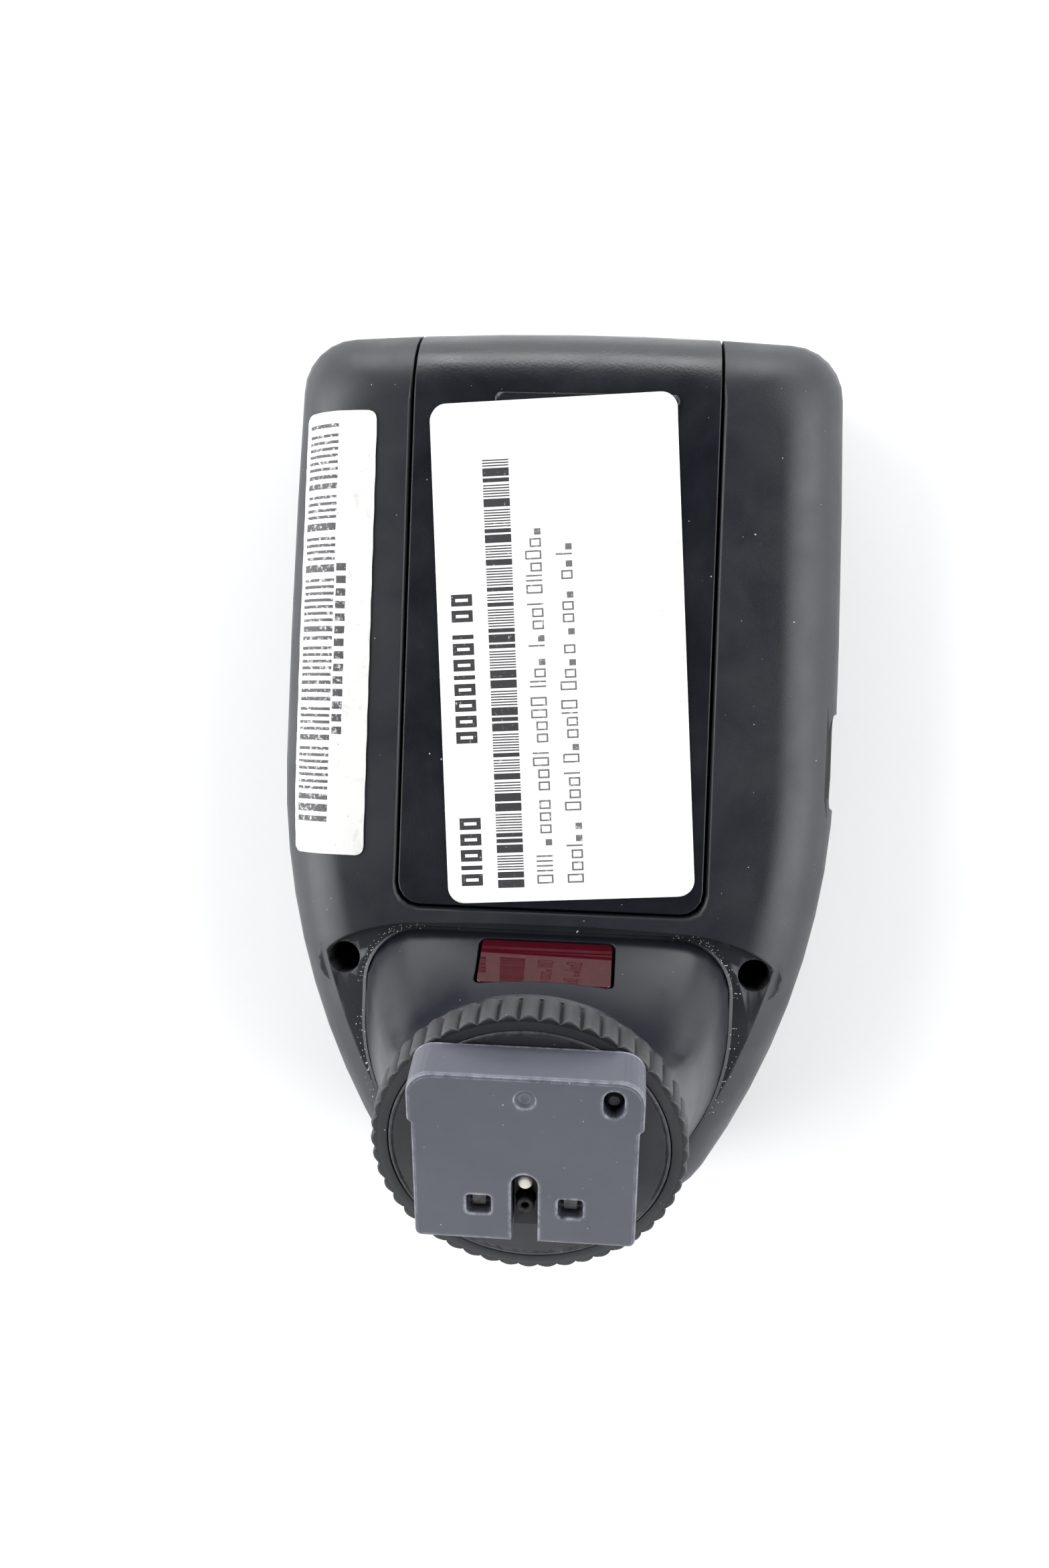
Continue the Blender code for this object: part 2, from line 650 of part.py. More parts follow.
def make_locking_ring(finish, shoe):
    """Scalloped lobes with sharp valleys round the rim, and a plain bore."""
    steps = FLUTES * 3
    turns = [2 * pi * step / steps for step in range(steps)]

    def rim(trim, level):
        depths = [FLUTE_DEPTH * (1 - abs(cos(FLUTES / 2 * turn))) for turn in turns]
        radii = [RING_RADIUS - trim - depth for depth in depths]
        return [(radius * cos(turn), radius * sin(turn), level) for radius, turn in zip(radii, turns)]

    outer = [rim(0, -RING_HEIGHT), rim(0, -0.2), rim(0.25, 0)]
    inner = [flat(circle(RING_BORE + widen, steps=steps), z) for z, widen in ((-RING_HEIGHT, 0), (-0.15, 0), (0, 0.15))]
    mesh = bmesh.new()
    tube(mesh, outer, inner)
    piece("locking_ring", mesh, finish, shoe)


def make_hub(finish, shoe):
    """The fixed disc that the foot stands on, inside the turning ring."""
    mesh = bmesh.new()
    turned(mesh, [(HUB_RADIUS, -RING_HEIGHT), (HUB_RADIUS, -0.4), (HUB_RADIUS - 0.25, -0.15)])
    hub = piece("ring_hub", mesh, finish, shoe)
    mesh = bmesh.new()
    turned(mesh, [(1.0, -2.6), (1.0, 2)], 16, *PIN_PLACE)
    turned(mesh, [(1.8, -5), (1.8, 2)], 20)
    for side in (-1, 1):
        turned(mesh, [(1.25, -5), (1.25, 2)], 16, side * FOOT_SCREW_X, FOOT_SCREW_Y)
    combine(hub, cutter("hub_holes", mesh, shoe))


def foot_outline(trim):
    """Plan of the foot's face: straight rails, then the slightly wider block with rounded corners."""
    right = arc(RAIL_HALF_WIDTH - 0.5, FOOT_FRONT + 0.5, 0.5, -90, 0, 3)
    right.append((RAIL_HALF_WIDTH, BLOCK_START))
    right.append((BLOCK_HALF_WIDTH, BLOCK_START + 0.35))
    right += arc(BLOCK_HALF_WIDTH - BLOCK_CORNER, FOOT_BACK - BLOCK_CORNER, BLOCK_CORNER, 0, 90, 6)
    middle = (FOOT_BACK + FOOT_FRONT) / 2
    across = 1 - trim / BLOCK_HALF_WIDTH
    along = 1 - trim / (FOOT_BACK - middle)
    return [(x * across, middle + (y - middle) * along) for x, y in mirrored(right)]


def make_foot(finish, shoe):
    """Rails over undercuts, closed off at the back by a full-height block."""
    mesh = bmesh.new()
    levels = [(0.0, RAIL_BOTTOM), (0.0, FOOT_TOP - 0.3), (0.09, FOOT_TOP - 0.09), (0.3, FOOT_TOP)]
    loft(mesh, [flat(foot_outline(trim), level) for trim, level in levels])
    foot = piece("shoe_foot", mesh, finish, shoe)

    mesh = bmesh.new()
    block = FOOT_BACK - BLOCK_START
    outline = rounded_rectangle(2 * BLOCK_HALF_WIDTH, block, BLOCK_CORNER, 0, BLOCK_START + block / 2, 6)
    prism(mesh, outline, FOOT_BASE, RAIL_BOTTOM + 0.6)
    combine(foot, cutter("foot_block", mesh, shoe), "UNION")

    mesh = bmesh.new()
    slab(mesh, (-STEM_HALF_WIDTH, FOOT_FRONT + 0.4, FOOT_BASE), (STEM_HALF_WIDTH, BLOCK_START + 1, RAIL_BOTTOM + 0.6))
    combine(foot, cutter("foot_stem", mesh, shoe), "UNION")

    mesh = bmesh.new()
    slot = [(-SLOT_HALF_WIDTH, FOOT_FRONT - 2), (SLOT_HALF_WIDTH, FOOT_FRONT - 2)]
    slot += arc(0, SLOT_END - SLOT_HALF_WIDTH, SLOT_HALF_WIDTH, 0, 180, 8)
    prism(mesh, slot, FOOT_BASE + 0.9, FOOT_TOP + 1)
    x, y = PIN_PLACE
    prism(mesh, arc(x, y + 0.5, 0.85, 0, 180, 8) + arc(x, y - 0.5, 0.85, 180, 360, 8), -1, FOOT_TOP + 1)
    for side in (-1, 1):
        prism(mesh, rounded_rectangle(2.1, 2.0, 0.3, side * CONTACT_X, CONTACT_Y), 2.9, FOOT_TOP + 1)
        turned(mesh, [(1.2, -1), (1.2, 2.6)], 16, side * FOOT_SCREW_X, FOOT_SCREW_Y)
    turned(mesh, [(0.5, FOOT_TOP - 0.25), (0.85, FOOT_TOP - 0.12), (1.35, FOOT_TOP + 0.4)], 20, 0, PIN_PLACE[1])
    combine(foot, cutter("foot_openings", mesh, shoe))


def make_contacts(finishes, shoe):
    mesh = bmesh.new()
    inner = SLOT_HALF_WIDTH - 0.12
    outline = [(-inner, FOOT_FRONT + 0.3), (inner, FOOT_FRONT + 0.3)]
    outline += arc(0, SLOT_END - SLOT_HALF_WIDTH, inner, 0, 180, 8)
    prism(mesh, outline, FOOT_BASE + 1.05, CARRIER_TOP)
    carrier = piece("contact_carrier", mesh, finishes["inner"], shoe)

    mesh = bmesh.new()
    turned(mesh, [(0.9, CARRIER_TOP - 1.3), (0.9, CARRIER_TOP + 1)], 20, *SYNC_PLACE)
    turned(mesh, [(0.66, CARRIER_TOP - 0.7), (0.66, CARRIER_TOP + 1)], 16, *GUIDE_PLACE)
    combine(carrier, cutter("carrier_wells", mesh, shoe))

    mesh = bmesh.new()
    low, high = CARRIER_TOP - 0.6, FOOT_TOP - 0.75
    profile = [(0.8, low), (0.8, high - 0.12), (0.68, high)]
    outer = [flat(circle(radius, steps=20), z) for radius, z in profile]
    inner = [flat(circle(radius, steps=20), z) for radius, z in ((0.32, low), (0.32, high - 0.12), (0.38, high))]
    tube(mesh, outer, inner)
    piece("sync_contact", mesh, finishes["steel"], shoe, (*SYNC_PLACE, 0))

    mesh = bmesh.new()
    profile = [(0.6, CARRIER_TOP - 0.6), (0.6, FOOT_TOP - 0.75), (0.5, FOOT_TOP - 0.6), (0.3, FOOT_TOP - 0.54)]
    turned(mesh, profile, 16)
    piece("guide_pin", mesh, finishes["cream"], shoe, (*GUIDE_PLACE, 0))

    for name, side in (("contact_pad_left", -1), ("contact_pad_right", 1)):
        mesh = bmesh.new()
        prism(mesh, rounded_rectangle(1.15, 1.1, 0.15, side * CONTACT_X, CONTACT_Y, 2), 3.05, 3.75)
        piece(name, mesh, finishes["steel"], shoe)

    mesh = bmesh.new()
    turned(mesh, [(0.7, -2.2), (0.7, FOOT_TOP - 0.85), (0.45, FOOT_TOP - 0.6)], 16)
    piece("lock_pin", mesh, finishes["steel"], shoe, (*PIN_PLACE, 0))

    for name, side in (("foot_screw_left", -1), ("foot_screw_right", 1)):
        make_screw(name, finishes["steel"], shoe, (side * FOOT_SCREW_X, FOOT_SCREW_Y, -7.0), 8.8, up=True)


def make_screw(name, finish, parent, place, length, up=False):
    """A small cross-recess screw with its head's seat at the origin."""
    mesh = bmesh.new()
    turned(mesh, [(0.5, -length), (0.9, 0.5 - length), (0.9, 0), (1.45, 0), (1.45, 0.9), (1.2, 1.3)], 20)
    if up:
        turn_mesh(mesh, Matrix.Rotation(pi, 4, "X"))
    screw = piece(name, mesh, finish, parent, place)
    mesh = bmesh.new()
    cross = [(0.17, -0.8), (0.17, -0.17), (0.8, -0.17), (0.8, 0.17), (0.17, 0.17), (0.17, 0.8)]
    cross += [(-x, -y) for x, y in cross]
    prism(mesh, cross, 0.6, 2.0)
    if up:
        turn_mesh(mesh, Matrix.Rotation(pi, 4, "X"))
    combine(screw, cutter(name + "_recess", mesh, parent, place))


def make_battery_pieces(finishes):
    low, high = CELL_ENDS
    mesh = bmesh.new()
    slab(mesh, (-BAY_HALF_WIDTH, BAY_ENDS[0], BAY_FLOOR_Z[0]), (BAY_HALF_WIDTH, BAY_ENDS[1], BAY_TOP_Z))
    bay = piece("battery_bay", mesh, finishes["inner"])
    mesh = bmesh.new()
    inner = BAY_HALF_WIDTH - BAY_WALL
    slab(mesh, (-inner, BAY_ENDS[0] + BAY_WALL, BAY_FLOOR_Z[1]), (inner, BAY_ENDS[1] - BAY_WALL, BAY_TOP_Z + 3))
    combine(bay, cutter("bay_hollow", mesh))

    lie = Matrix.Rotation(radians(-90), 4, "X")
    for name, side, nub in (("battery_cell_left", -1, 1), ("battery_cell_right", 1, -1)):
        half = (high - low) / 2
        profile = [(CELL_RADIUS - 0.5, -half), (CELL_RADIUS, 0.5 - half), (CELL_RADIUS, half - 0.6)]
        profile += [(CELL_RADIUS - 0.8, half), (NUB_RADIUS, half), (NUB_RADIUS, half + NUB_LENGTH)]
        mesh = bmesh.new()
        turned(mesh, profile, 32)
        turn_mesh(mesh, lie if nub > 0 else Matrix.Rotation(radians(90), 4, "X"))
        piece(name, mesh, finishes["cell"], None, (side * CELL_X, (low + high) / 2, CELL_Z))
        make_spring(name.replace("cell", "spring"), finishes["steel"], side * CELL_X, low if nub > 0 else high, nub)

    far = {"battery_plate_right": (1, low - NUB_LENGTH - 0.75), "battery_plate_left": (-1, high + NUB_LENGTH + 0.35)}
    for name, (side, y) in far.items():
        mesh = bmesh.new()
        x = side * CELL_X
        slab(mesh, (x - PLATE_HALF_WIDTH, y, CELL_Z - 4), (x + PLATE_HALF_WIDTH, y + PLATE_THICK, CELL_Z + 3))
        piece(name, mesh, finishes["steel"])


def make_spring(name, finish, x, end, nub):
    """A short conical contact spring between a cell's flat end and the bay's wall."""
    curve = bpy.data.curves.new(name, "CURVE")
    curve.dimensions = "3D"
    curve.bevel_depth = SPRING_WIRE * MM
    curve.bevel_resolution = 1
    curve.use_fill_caps = True
    spline = curve.splines.new("POLY")
    spline.points.add(SPRING_STEPS)
    for step in range(SPRING_STEPS + 1):
        part = step / SPRING_STEPS
        radius = SPRING_RADII[0] + (SPRING_RADII[1] - SPRING_RADII[0]) * part
        turn = 2 * pi * SPRING_TURNS * part
        along = -nub * (SPRING_ENDS[0] + (SPRING_ENDS[1] - SPRING_ENDS[0]) * part)
        spline.points[step].co = (radius * cos(turn) * MM, along * MM, radius * sin(turn) * MM, 1)
    curve.materials.append(finish)
    obj = bpy.data.objects.new(name, curve)
    bpy.context.scene.collection.objects.link(obj)
    obj.location = (x * MM, end * MM, CELL_Z * MM)


def make_labels(finishes, housing):
    """Thin printed labels: a flat one on the door, cut round the grip bar, and one draped over the shoulder."""
    width, length = LABEL_SIZE
    x, y = LABEL_CENTRE
    base = BACK_Z + LABEL_LIFT
    mesh = bmesh.new()
    prism(mesh, rounded_rectangle(width, length, LABEL_CORNER), base, base + LABEL_THICK)
    turn_mesh(mesh, Matrix.Translation((x, y, 0)) @ Matrix.Rotation(radians(LABEL_TURN), 4, "Z"))
    label = piece("asset_label", mesh, finishes["label"])
    mesh = bmesh.new()
    grip_x, grip_y, grip_length, grip_width = GRIP_BAR
    slab(
        mesh,
        (grip_x - grip_length / 2 - GAP, grip_y - grip_width / 2 - GAP, BACK_Z - 1),
        (grip_x + grip_length / 2 + GAP, grip_y + 3, BACK_Z + 2),
    )
    combine(label, cutter("label_notch", mesh))

    low, high = SERIAL_LOW, SERIAL_HIGH
    mesh = bmesh.new()
    across, along = SERIAL_GRID
    rows = []
    for row in range(along + 1):
        y = low[1] + (high[1] - low[1]) * row / along
        xs = [low[0] + (high[0] - low[0]) * column / across for column in range(across + 1)]
        rows.append([mesh.verts.new((x, y, BACK_Z + 3)) for x in xs])
    for lower, upper in zip(rows, rows[1:]):
        for column in range(across):
            mesh.faces.new((lower[column], lower[column + 1], upper[column + 1], upper[column]))
    serial = piece("serial_label", mesh, finishes["label"])
    drape = serial.modifiers.new("drape", "SHRINKWRAP")
    drape.target = housing
    drape.wrap_method = "PROJECT"
    drape.use_project_z = True
    drape.use_negative_direction = True
    drape.use_positive_direction = False
    drape.offset = DRAPE_LIFT * MM
    thick = serial.modifiers.new("thickness", "SOLIDIFY")
    thick.thickness = LABEL_THICK * MM
    thick.offset = 1


def make_display(finishes):
    width, height = WINDOW_SIZE
    mesh = bmesh.new()
    prism(mesh, rounded_rectangle(width, height, 1.2, *WINDOW_CENTRE), RECESS_Z - 0.1, PANEL_Z - 0.1)
    piece("display_window", mesh, finishes["clear_lens"])
    mesh = bmesh.new()
    prism(mesh, rounded_rectangle(width + 1.5, height + 2, 0.6, *WINDOW_CENTRE), PANEL_Z + GAP, PANEL_Z + 1.6)
    piece("display_module", mesh, finishes["display"])
    mesh = bmesh.new()
    prism(mesh, BOARD, *BOARD_Z)
    piece("main_board", mesh, finishes["board"])
    mesh = bmesh.new()
    slab(mesh, *ANTENNA)
    piece("antenna", mesh, finishes["board"])


def make_controls(finishes):
    for name, (x, y, across, along) in KEYS.items():
        mesh = bmesh.new()
        radius = along / 2 - 0.35 if name == "test_button" else 0.8
        top = rounded_rectangle(across - 0.4, along - 0.4, radius - 0.15, steps=3)
        full = rounded_rectangle(across, along, radius, steps=3)
        loft(mesh, [flat(top, KEY_TIP_Z), flat(full, KEY_TIP_Z + 0.25), flat(full, KEY_ROOT_Z)])
        turn_mesh(mesh, Matrix.Translation((0, 0, -KEY_ROOT_Z)))
        piece(name, mesh, finishes["keys"], None, (x, y, KEY_ROOT_Z))

    mesh = bmesh.new()
    prism(mesh, MEMBRANE_RIGHT + MEMBRANE_LEFT, *MEMBRANE_Z)
    sheet = piece("keypad_membrane", mesh, finishes["inner"])
    mesh = bmesh.new()
    turned(mesh, [(MEMBRANE_HOLE, 3), (MEMBRANE_HOLE, 6)], 24, *DIAL_CENTRE)
    combine(sheet, cutter("membrane_hole", mesh))

    mesh = bmesh.new()
    tip_z, full_z, seat_z = DIAL_HEIGHTS
    turns = [2 * pi * step / DIAL_STEPS for step in range(DIAL_STEPS)]
    outer = []
    for trim, z in ((0.5, tip_z), (0.0, full_z), (0.0, seat_z)):
        radii = [DIAL_RADIUS - trim - 0.25 * (step % 3 == 0) for step in range(DIAL_STEPS)]
        outer.append([(radius * cos(turn), radius * sin(turn), z) for radius, turn in zip(radii, turns)])
    inner = [flat(circle(SET_RADIUS + 0.35, steps=DIAL_STEPS), z) for z in DIAL_HEIGHTS]
    tube(mesh, outer, inner)
    turn_mesh(mesh, Matrix.Translation((0, 0, -seat_z)))
    piece("select_dial", mesh, finishes["keys"], None, (*DIAL_CENTRE, seat_z))

    mesh = bmesh.new()
    turned(mesh, [(SET_RADIUS - 0.4, -2.4), (SET_RADIUS, -2.1), (SET_RADIUS, 0)], 36)
    piece("set_button", mesh, finishes["keys"], None, (*DIAL_CENTRE, 3.0))
    mesh = bmesh.new()
    size, corner = ENCODER_SIZE
    prism(mesh, rounded_rectangle(size, size, corner, *DIAL_CENTRE), *ENCODER_Z)
    piece("dial_encoder", mesh, finishes["inner"])
    mesh = bmesh.new()
    turned(mesh, [(0.7, 0.95), (1.0, 1.25), (1.0, 3.6)], 16, *LAMP_CENTRE)
    piece("status_lamp", mesh, finishes["clear_lens"])


def make_side_pieces(finishes):
    mesh = bmesh.new()
    outer = rounded_rectangle(PORT_WIDTH, PORT_HEIGHT, 1.5)
    inner = rounded_rectangle(PORT_WIDTH - 0.7, PORT_HEIGHT - 0.7, 1.15)
    side_hole(mesh, outer, 20.4, PORT_RECESS_X - 0.1, 0, 0)
    port = piece("usb_port", mesh, finishes["steel"], None, (0, PORT_Y, PORT_Z))
    mesh = bmesh.new()
    side_hole(mesh, inner, 21.2, PORT_RECESS_X + 2, 0, 0)
    combine(port, cutter("port_hollow", mesh, None, (0, PORT_Y, PORT_Z)))
    mesh = bmesh.new()
    side_hole(mesh, rounded_rectangle(PORT_WIDTH - 2.4, 0.8, 0.3, steps=2), 21.5, PORT_RECESS_X - 1.0, PORT_Y, PORT_Z)
    piece("usb_tongue", mesh, finishes["inner"])

    mesh = bmesh.new()
    side_hole(mesh, circle(2.2, steps=24), 20.0, BEZEL_FLOOR_X, JACK_Y, JACK_Z)
    jack = piece("sync_jack", mesh, finishes["inner"])
    mesh = bmesh.new()
    side_hole(mesh, circle(1.25, steps=16), 20.8, HALF_WIDTH + 2, JACK_Y, JACK_Z)
    combine(jack, cutter("jack_bore", mesh))

    mesh = bmesh.new()
    loft(mesh, rear_rings())
    strip = piece("port_bezel", mesh, finishes["inner"])
    mesh = bmesh.new()
    bezel_block(mesh, -GAP / 2)
    combine(strip, cutter("bezel_outline", mesh), "INTERSECT")
    mesh = bmesh.new()
    port_recess(mesh)
    side_hole(mesh, circle(JACK_HOLE_RADIUS, steps=24), HALF_WIDTH - 3, HALF_WIDTH + 3, JACK_Y, JACK_Z)
    combine(strip, cutter("bezel_holes", mesh))

    for name, y in SLIDERS.items():
        mesh = bmesh.new()
        side_hole(mesh, rounded_rectangle(3.2, 2.2, 0.35), -SLIDER_X, -HALF_WIDTH + 3.2, 0, 0)
        slider = piece(name, mesh, finishes["keys"], None, (0, y, SLIDER_Z))
        mesh = bmesh.new()
        for rib in (-0.9, -0.3, 0.3, 0.9):
            slab(mesh, (-SLIDER_X - 1, rib - 0.12, -2), (0.2 - SLIDER_X, rib + 0.12, 2))
        combine(slider, cutter(name + "_grooves", mesh, None, (0, y, SLIDER_Z)))
        mesh = bmesh.new()
        slab(mesh, (-25.3, y - 6.4, SLIDER_Z - 2.2), (-20.5, y + 3.0, SLIDER_Z + 2.2))
        piece(name.replace("slider", "switch"), mesh, finishes["inner"])

    for name, side in (("case_screw_left", -1), ("case_screw_right", 1)):
        make_screw(name, finishes["steel"], None, (side * SCREW_X, SCREW_Y, WELL_FLOOR_Z + 0.1), 8.4)


def main():
    clear_scene()
    bpy.context.scene.unit_settings.scale_length = 1.0
    finishes = make_materials()
    shoe = shoe_frame()
    housing = make_rear_housing(finishes["housing"])
    make_front_housing(finishes["housing"])
    make_battery_door(finishes["door"])
    make_neck(finishes["housing"], shoe)
    make_assist_light(finishes)
    make_locking_ring(finishes["ring"], shoe)
    make_hub(finishes["ring"], shoe)
    make_foot(finishes["foot"], shoe)
    make_contacts(finishes, shoe)
    make_battery_pieces(finishes)
    make_labels(finishes, housing)
    make_display(finishes)
    make_controls(finishes)
    make_side_pieces(finishes)


main()
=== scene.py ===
"""Looks of the wireless flash trigger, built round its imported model.

Lengths are in millimetres and become metres when a mesh is made. +Y runs towards the wide battery end and +Z
towards the foot.
"""

import json
import random
from math import atan, cos, hypot, pi, radians, sin, sqrt

import bmesh
import bpy
from mathutils import Matrix, Vector
from mathutils.bvhtree import BVHTree
from mathutils.interpolate import poly_3d_calc


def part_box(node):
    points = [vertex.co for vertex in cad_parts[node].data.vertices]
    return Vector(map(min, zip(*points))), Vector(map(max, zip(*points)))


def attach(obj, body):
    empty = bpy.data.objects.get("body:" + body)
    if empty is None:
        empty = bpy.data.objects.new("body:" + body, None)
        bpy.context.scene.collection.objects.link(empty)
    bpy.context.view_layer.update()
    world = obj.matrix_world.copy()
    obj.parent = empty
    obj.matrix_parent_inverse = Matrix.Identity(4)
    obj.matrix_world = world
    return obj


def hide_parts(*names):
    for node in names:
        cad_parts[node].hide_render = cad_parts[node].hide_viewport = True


MM = 0.001

# Camera and floor: where the camera stands, its turn in degrees and its lens
CAMERA_PLACE = (6.92, 1.94, 159.91)
CAMERA_TURN = (-1.32, 4.10, 2.02)
CAMERA_LENS = 32.04
SENSOR_LONG_SIDE = 36.0
FLOOR_REACH = 900
FLOOR_Z = -0.02

# Casing, as modelled
HALF_LENGTH = 45.0
HALF_WIDTH = 28.8
PARTING_Z = 8.0
SIDE_ARC = 75.0
END_CORNER = 9.0
WIDE_CORNER = 5.6
WIDE_CORNER_SWEEP = 88
WIDE_TAPER = 0.7
WIDE_BOW = 0.75
SHOULDER_Z = 13.5
BACK_Z = 22.5
SIDE_ROUND = 7.0
END_ROUND = 7.7
SIDE_DRAFT = 0.2  # how far the walls lean in below the shoulder
END_DRAFT = 0.3
CROWN_START = 15.6  # the shoulders fall away gently from here outwards
CROWN_WIDTH = 8.0
CROWN_DROP = 0.32
LEDGE_Z = 21.3
SKIN_REACH = 0.2
CORNER_STEPS = 24
SIDE_STEPS = 60
EDGE_STEPS = 20
ROUND_STEPS = 40
BACK_STEPS = 30
# Fillet round the neck: growth of the neck's plan, and height, step by step
SKIRT = ((-0.25, 21.2), (-0.05, 21.52), (0.02, 21.42), (0.12, 21.36), (0.3, 21.325), (0.34, 21.2))
SCREW_X = 20.5
SCREW_Y = -19.7
WELL_RADIUS = 1.6
PORT_PLACE = (1.6, 14.8)  # y and z
PORT_HALF_WIDTH = 4.5
PORT_HALF_HEIGHT = 3.95
PORT_FLOOR_X = 26.5
PORT_SHADE_X = 27.6  # painted shade from here inwards
PORT_RIM_X = 28.75

# Neck
NECK_FOOT_Z = 19.7
NECK_FRONT_Y = -16.5
NECK_HALF_WIDTH = 18.2
NECK_CORNER = 5.5
NECK_SIDE_Y = -25.0
NECK_TAIL_RADIUS = 20.0
NECK_TAIL_SWEEP = 38.0
NECK_TAIL_CORNER = 5.0
NECK_MIDDLE_Y = -28.0
NECK_TOP_RADIUS = 12.3
NECK_SCOOP = 3.6
NECK_SCOOP_Y = -18.0
NECK_STEPS = 240
NECK_LEVELS = 36
DUST_SEED = 3
DUST_GRAINS = 260
DUST_BACK_Y = -34
COLLAR_HEIGHT = 1.2

# Red window in the neck's front wall
WINDOW_PLACE = (0.0, -18.55, 25.0)
WINDOW_SIZE = (12.9, 6.1)
WINDOW_SLOPE = 62.5
WINDOW_LEAN = 6.0  # lies back in its opening by this much
WINDOW_THICK = 0.8

# Shoe axis: the middle of the locking ring's outer face and its lean
SHOE_PLACE = (0.0, -32.1, 42.0)
SHOE_LEAN = 24.5
RING_RADIUS = 13.65
RING_BORE = 12.15
RING_HEIGHT = 3.0
RING_GAP = 0.3  # between the ring and the neck's collar
FLUTES = 48
FLUTE_DEPTH = 0.5
FLUTE_POWER = 0.6
# Painted shade in the locking ring's flute valleys: it starts at the first radius and is full at the second
VALLEY_SHADE_FROM = 13.02
VALLEY_SHADE_FULL = 13.06
STEPS_PER_FLUTE = 12
HUB_RADIUS = 12.1
HUB_STEPS = 240

# Labels
LABEL_CENTRE = (0.4, 11.7)
LABEL_SIZE = (24.3, 49.2)
LABEL_TURN = 4.2
LABEL_CORNER = 1.6
LABEL_THICK = 0.11
INK_THICK = 0.012
LABEL_SEED = 11
LABEL_CORNER_STEPS = 10
LABEL_ROWS = 80
LABEL_COLUMNS = 24
SERIAL_EDGE_X = -18.7
SERIAL_WIDTH = 8.3
SERIAL_ENDS = (-9.3, 34.8)
SERIAL_LIFT = 0.09
SERIAL_SEED = 5
SERIAL_CORNER = 0.8
SERIAL_WALK = 0.04
BLOCK_WIDTH = 0.75
BLOCK_PITCH = 1.25
BUMP_START = 34.3  # the label rises over the grip bar from here
BUMP_LENGTH = 1.2
BUMP_HEIGHT = 0.36
BOLD_FOOT = 3.5
BOLD_TALL = 2.1
BOLD_PEN = 0.42
FINE_START = 1.7
FINE_TALL = 1.6
FINE_PEN = 0.16

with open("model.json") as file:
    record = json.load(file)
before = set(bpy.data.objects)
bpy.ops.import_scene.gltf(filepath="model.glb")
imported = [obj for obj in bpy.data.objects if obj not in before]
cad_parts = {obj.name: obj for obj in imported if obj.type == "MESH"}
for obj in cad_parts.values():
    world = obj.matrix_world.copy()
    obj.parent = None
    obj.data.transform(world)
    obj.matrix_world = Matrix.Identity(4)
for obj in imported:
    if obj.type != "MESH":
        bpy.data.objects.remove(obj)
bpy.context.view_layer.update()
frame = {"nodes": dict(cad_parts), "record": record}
nodes = frame["nodes"]
shoe = Matrix.Translation(Vector(SHOE_PLACE) * MM) @ Matrix.Rotation(radians(SHOE_LEAN), 4, "X")


# ---------------------------------------------------------------- materials


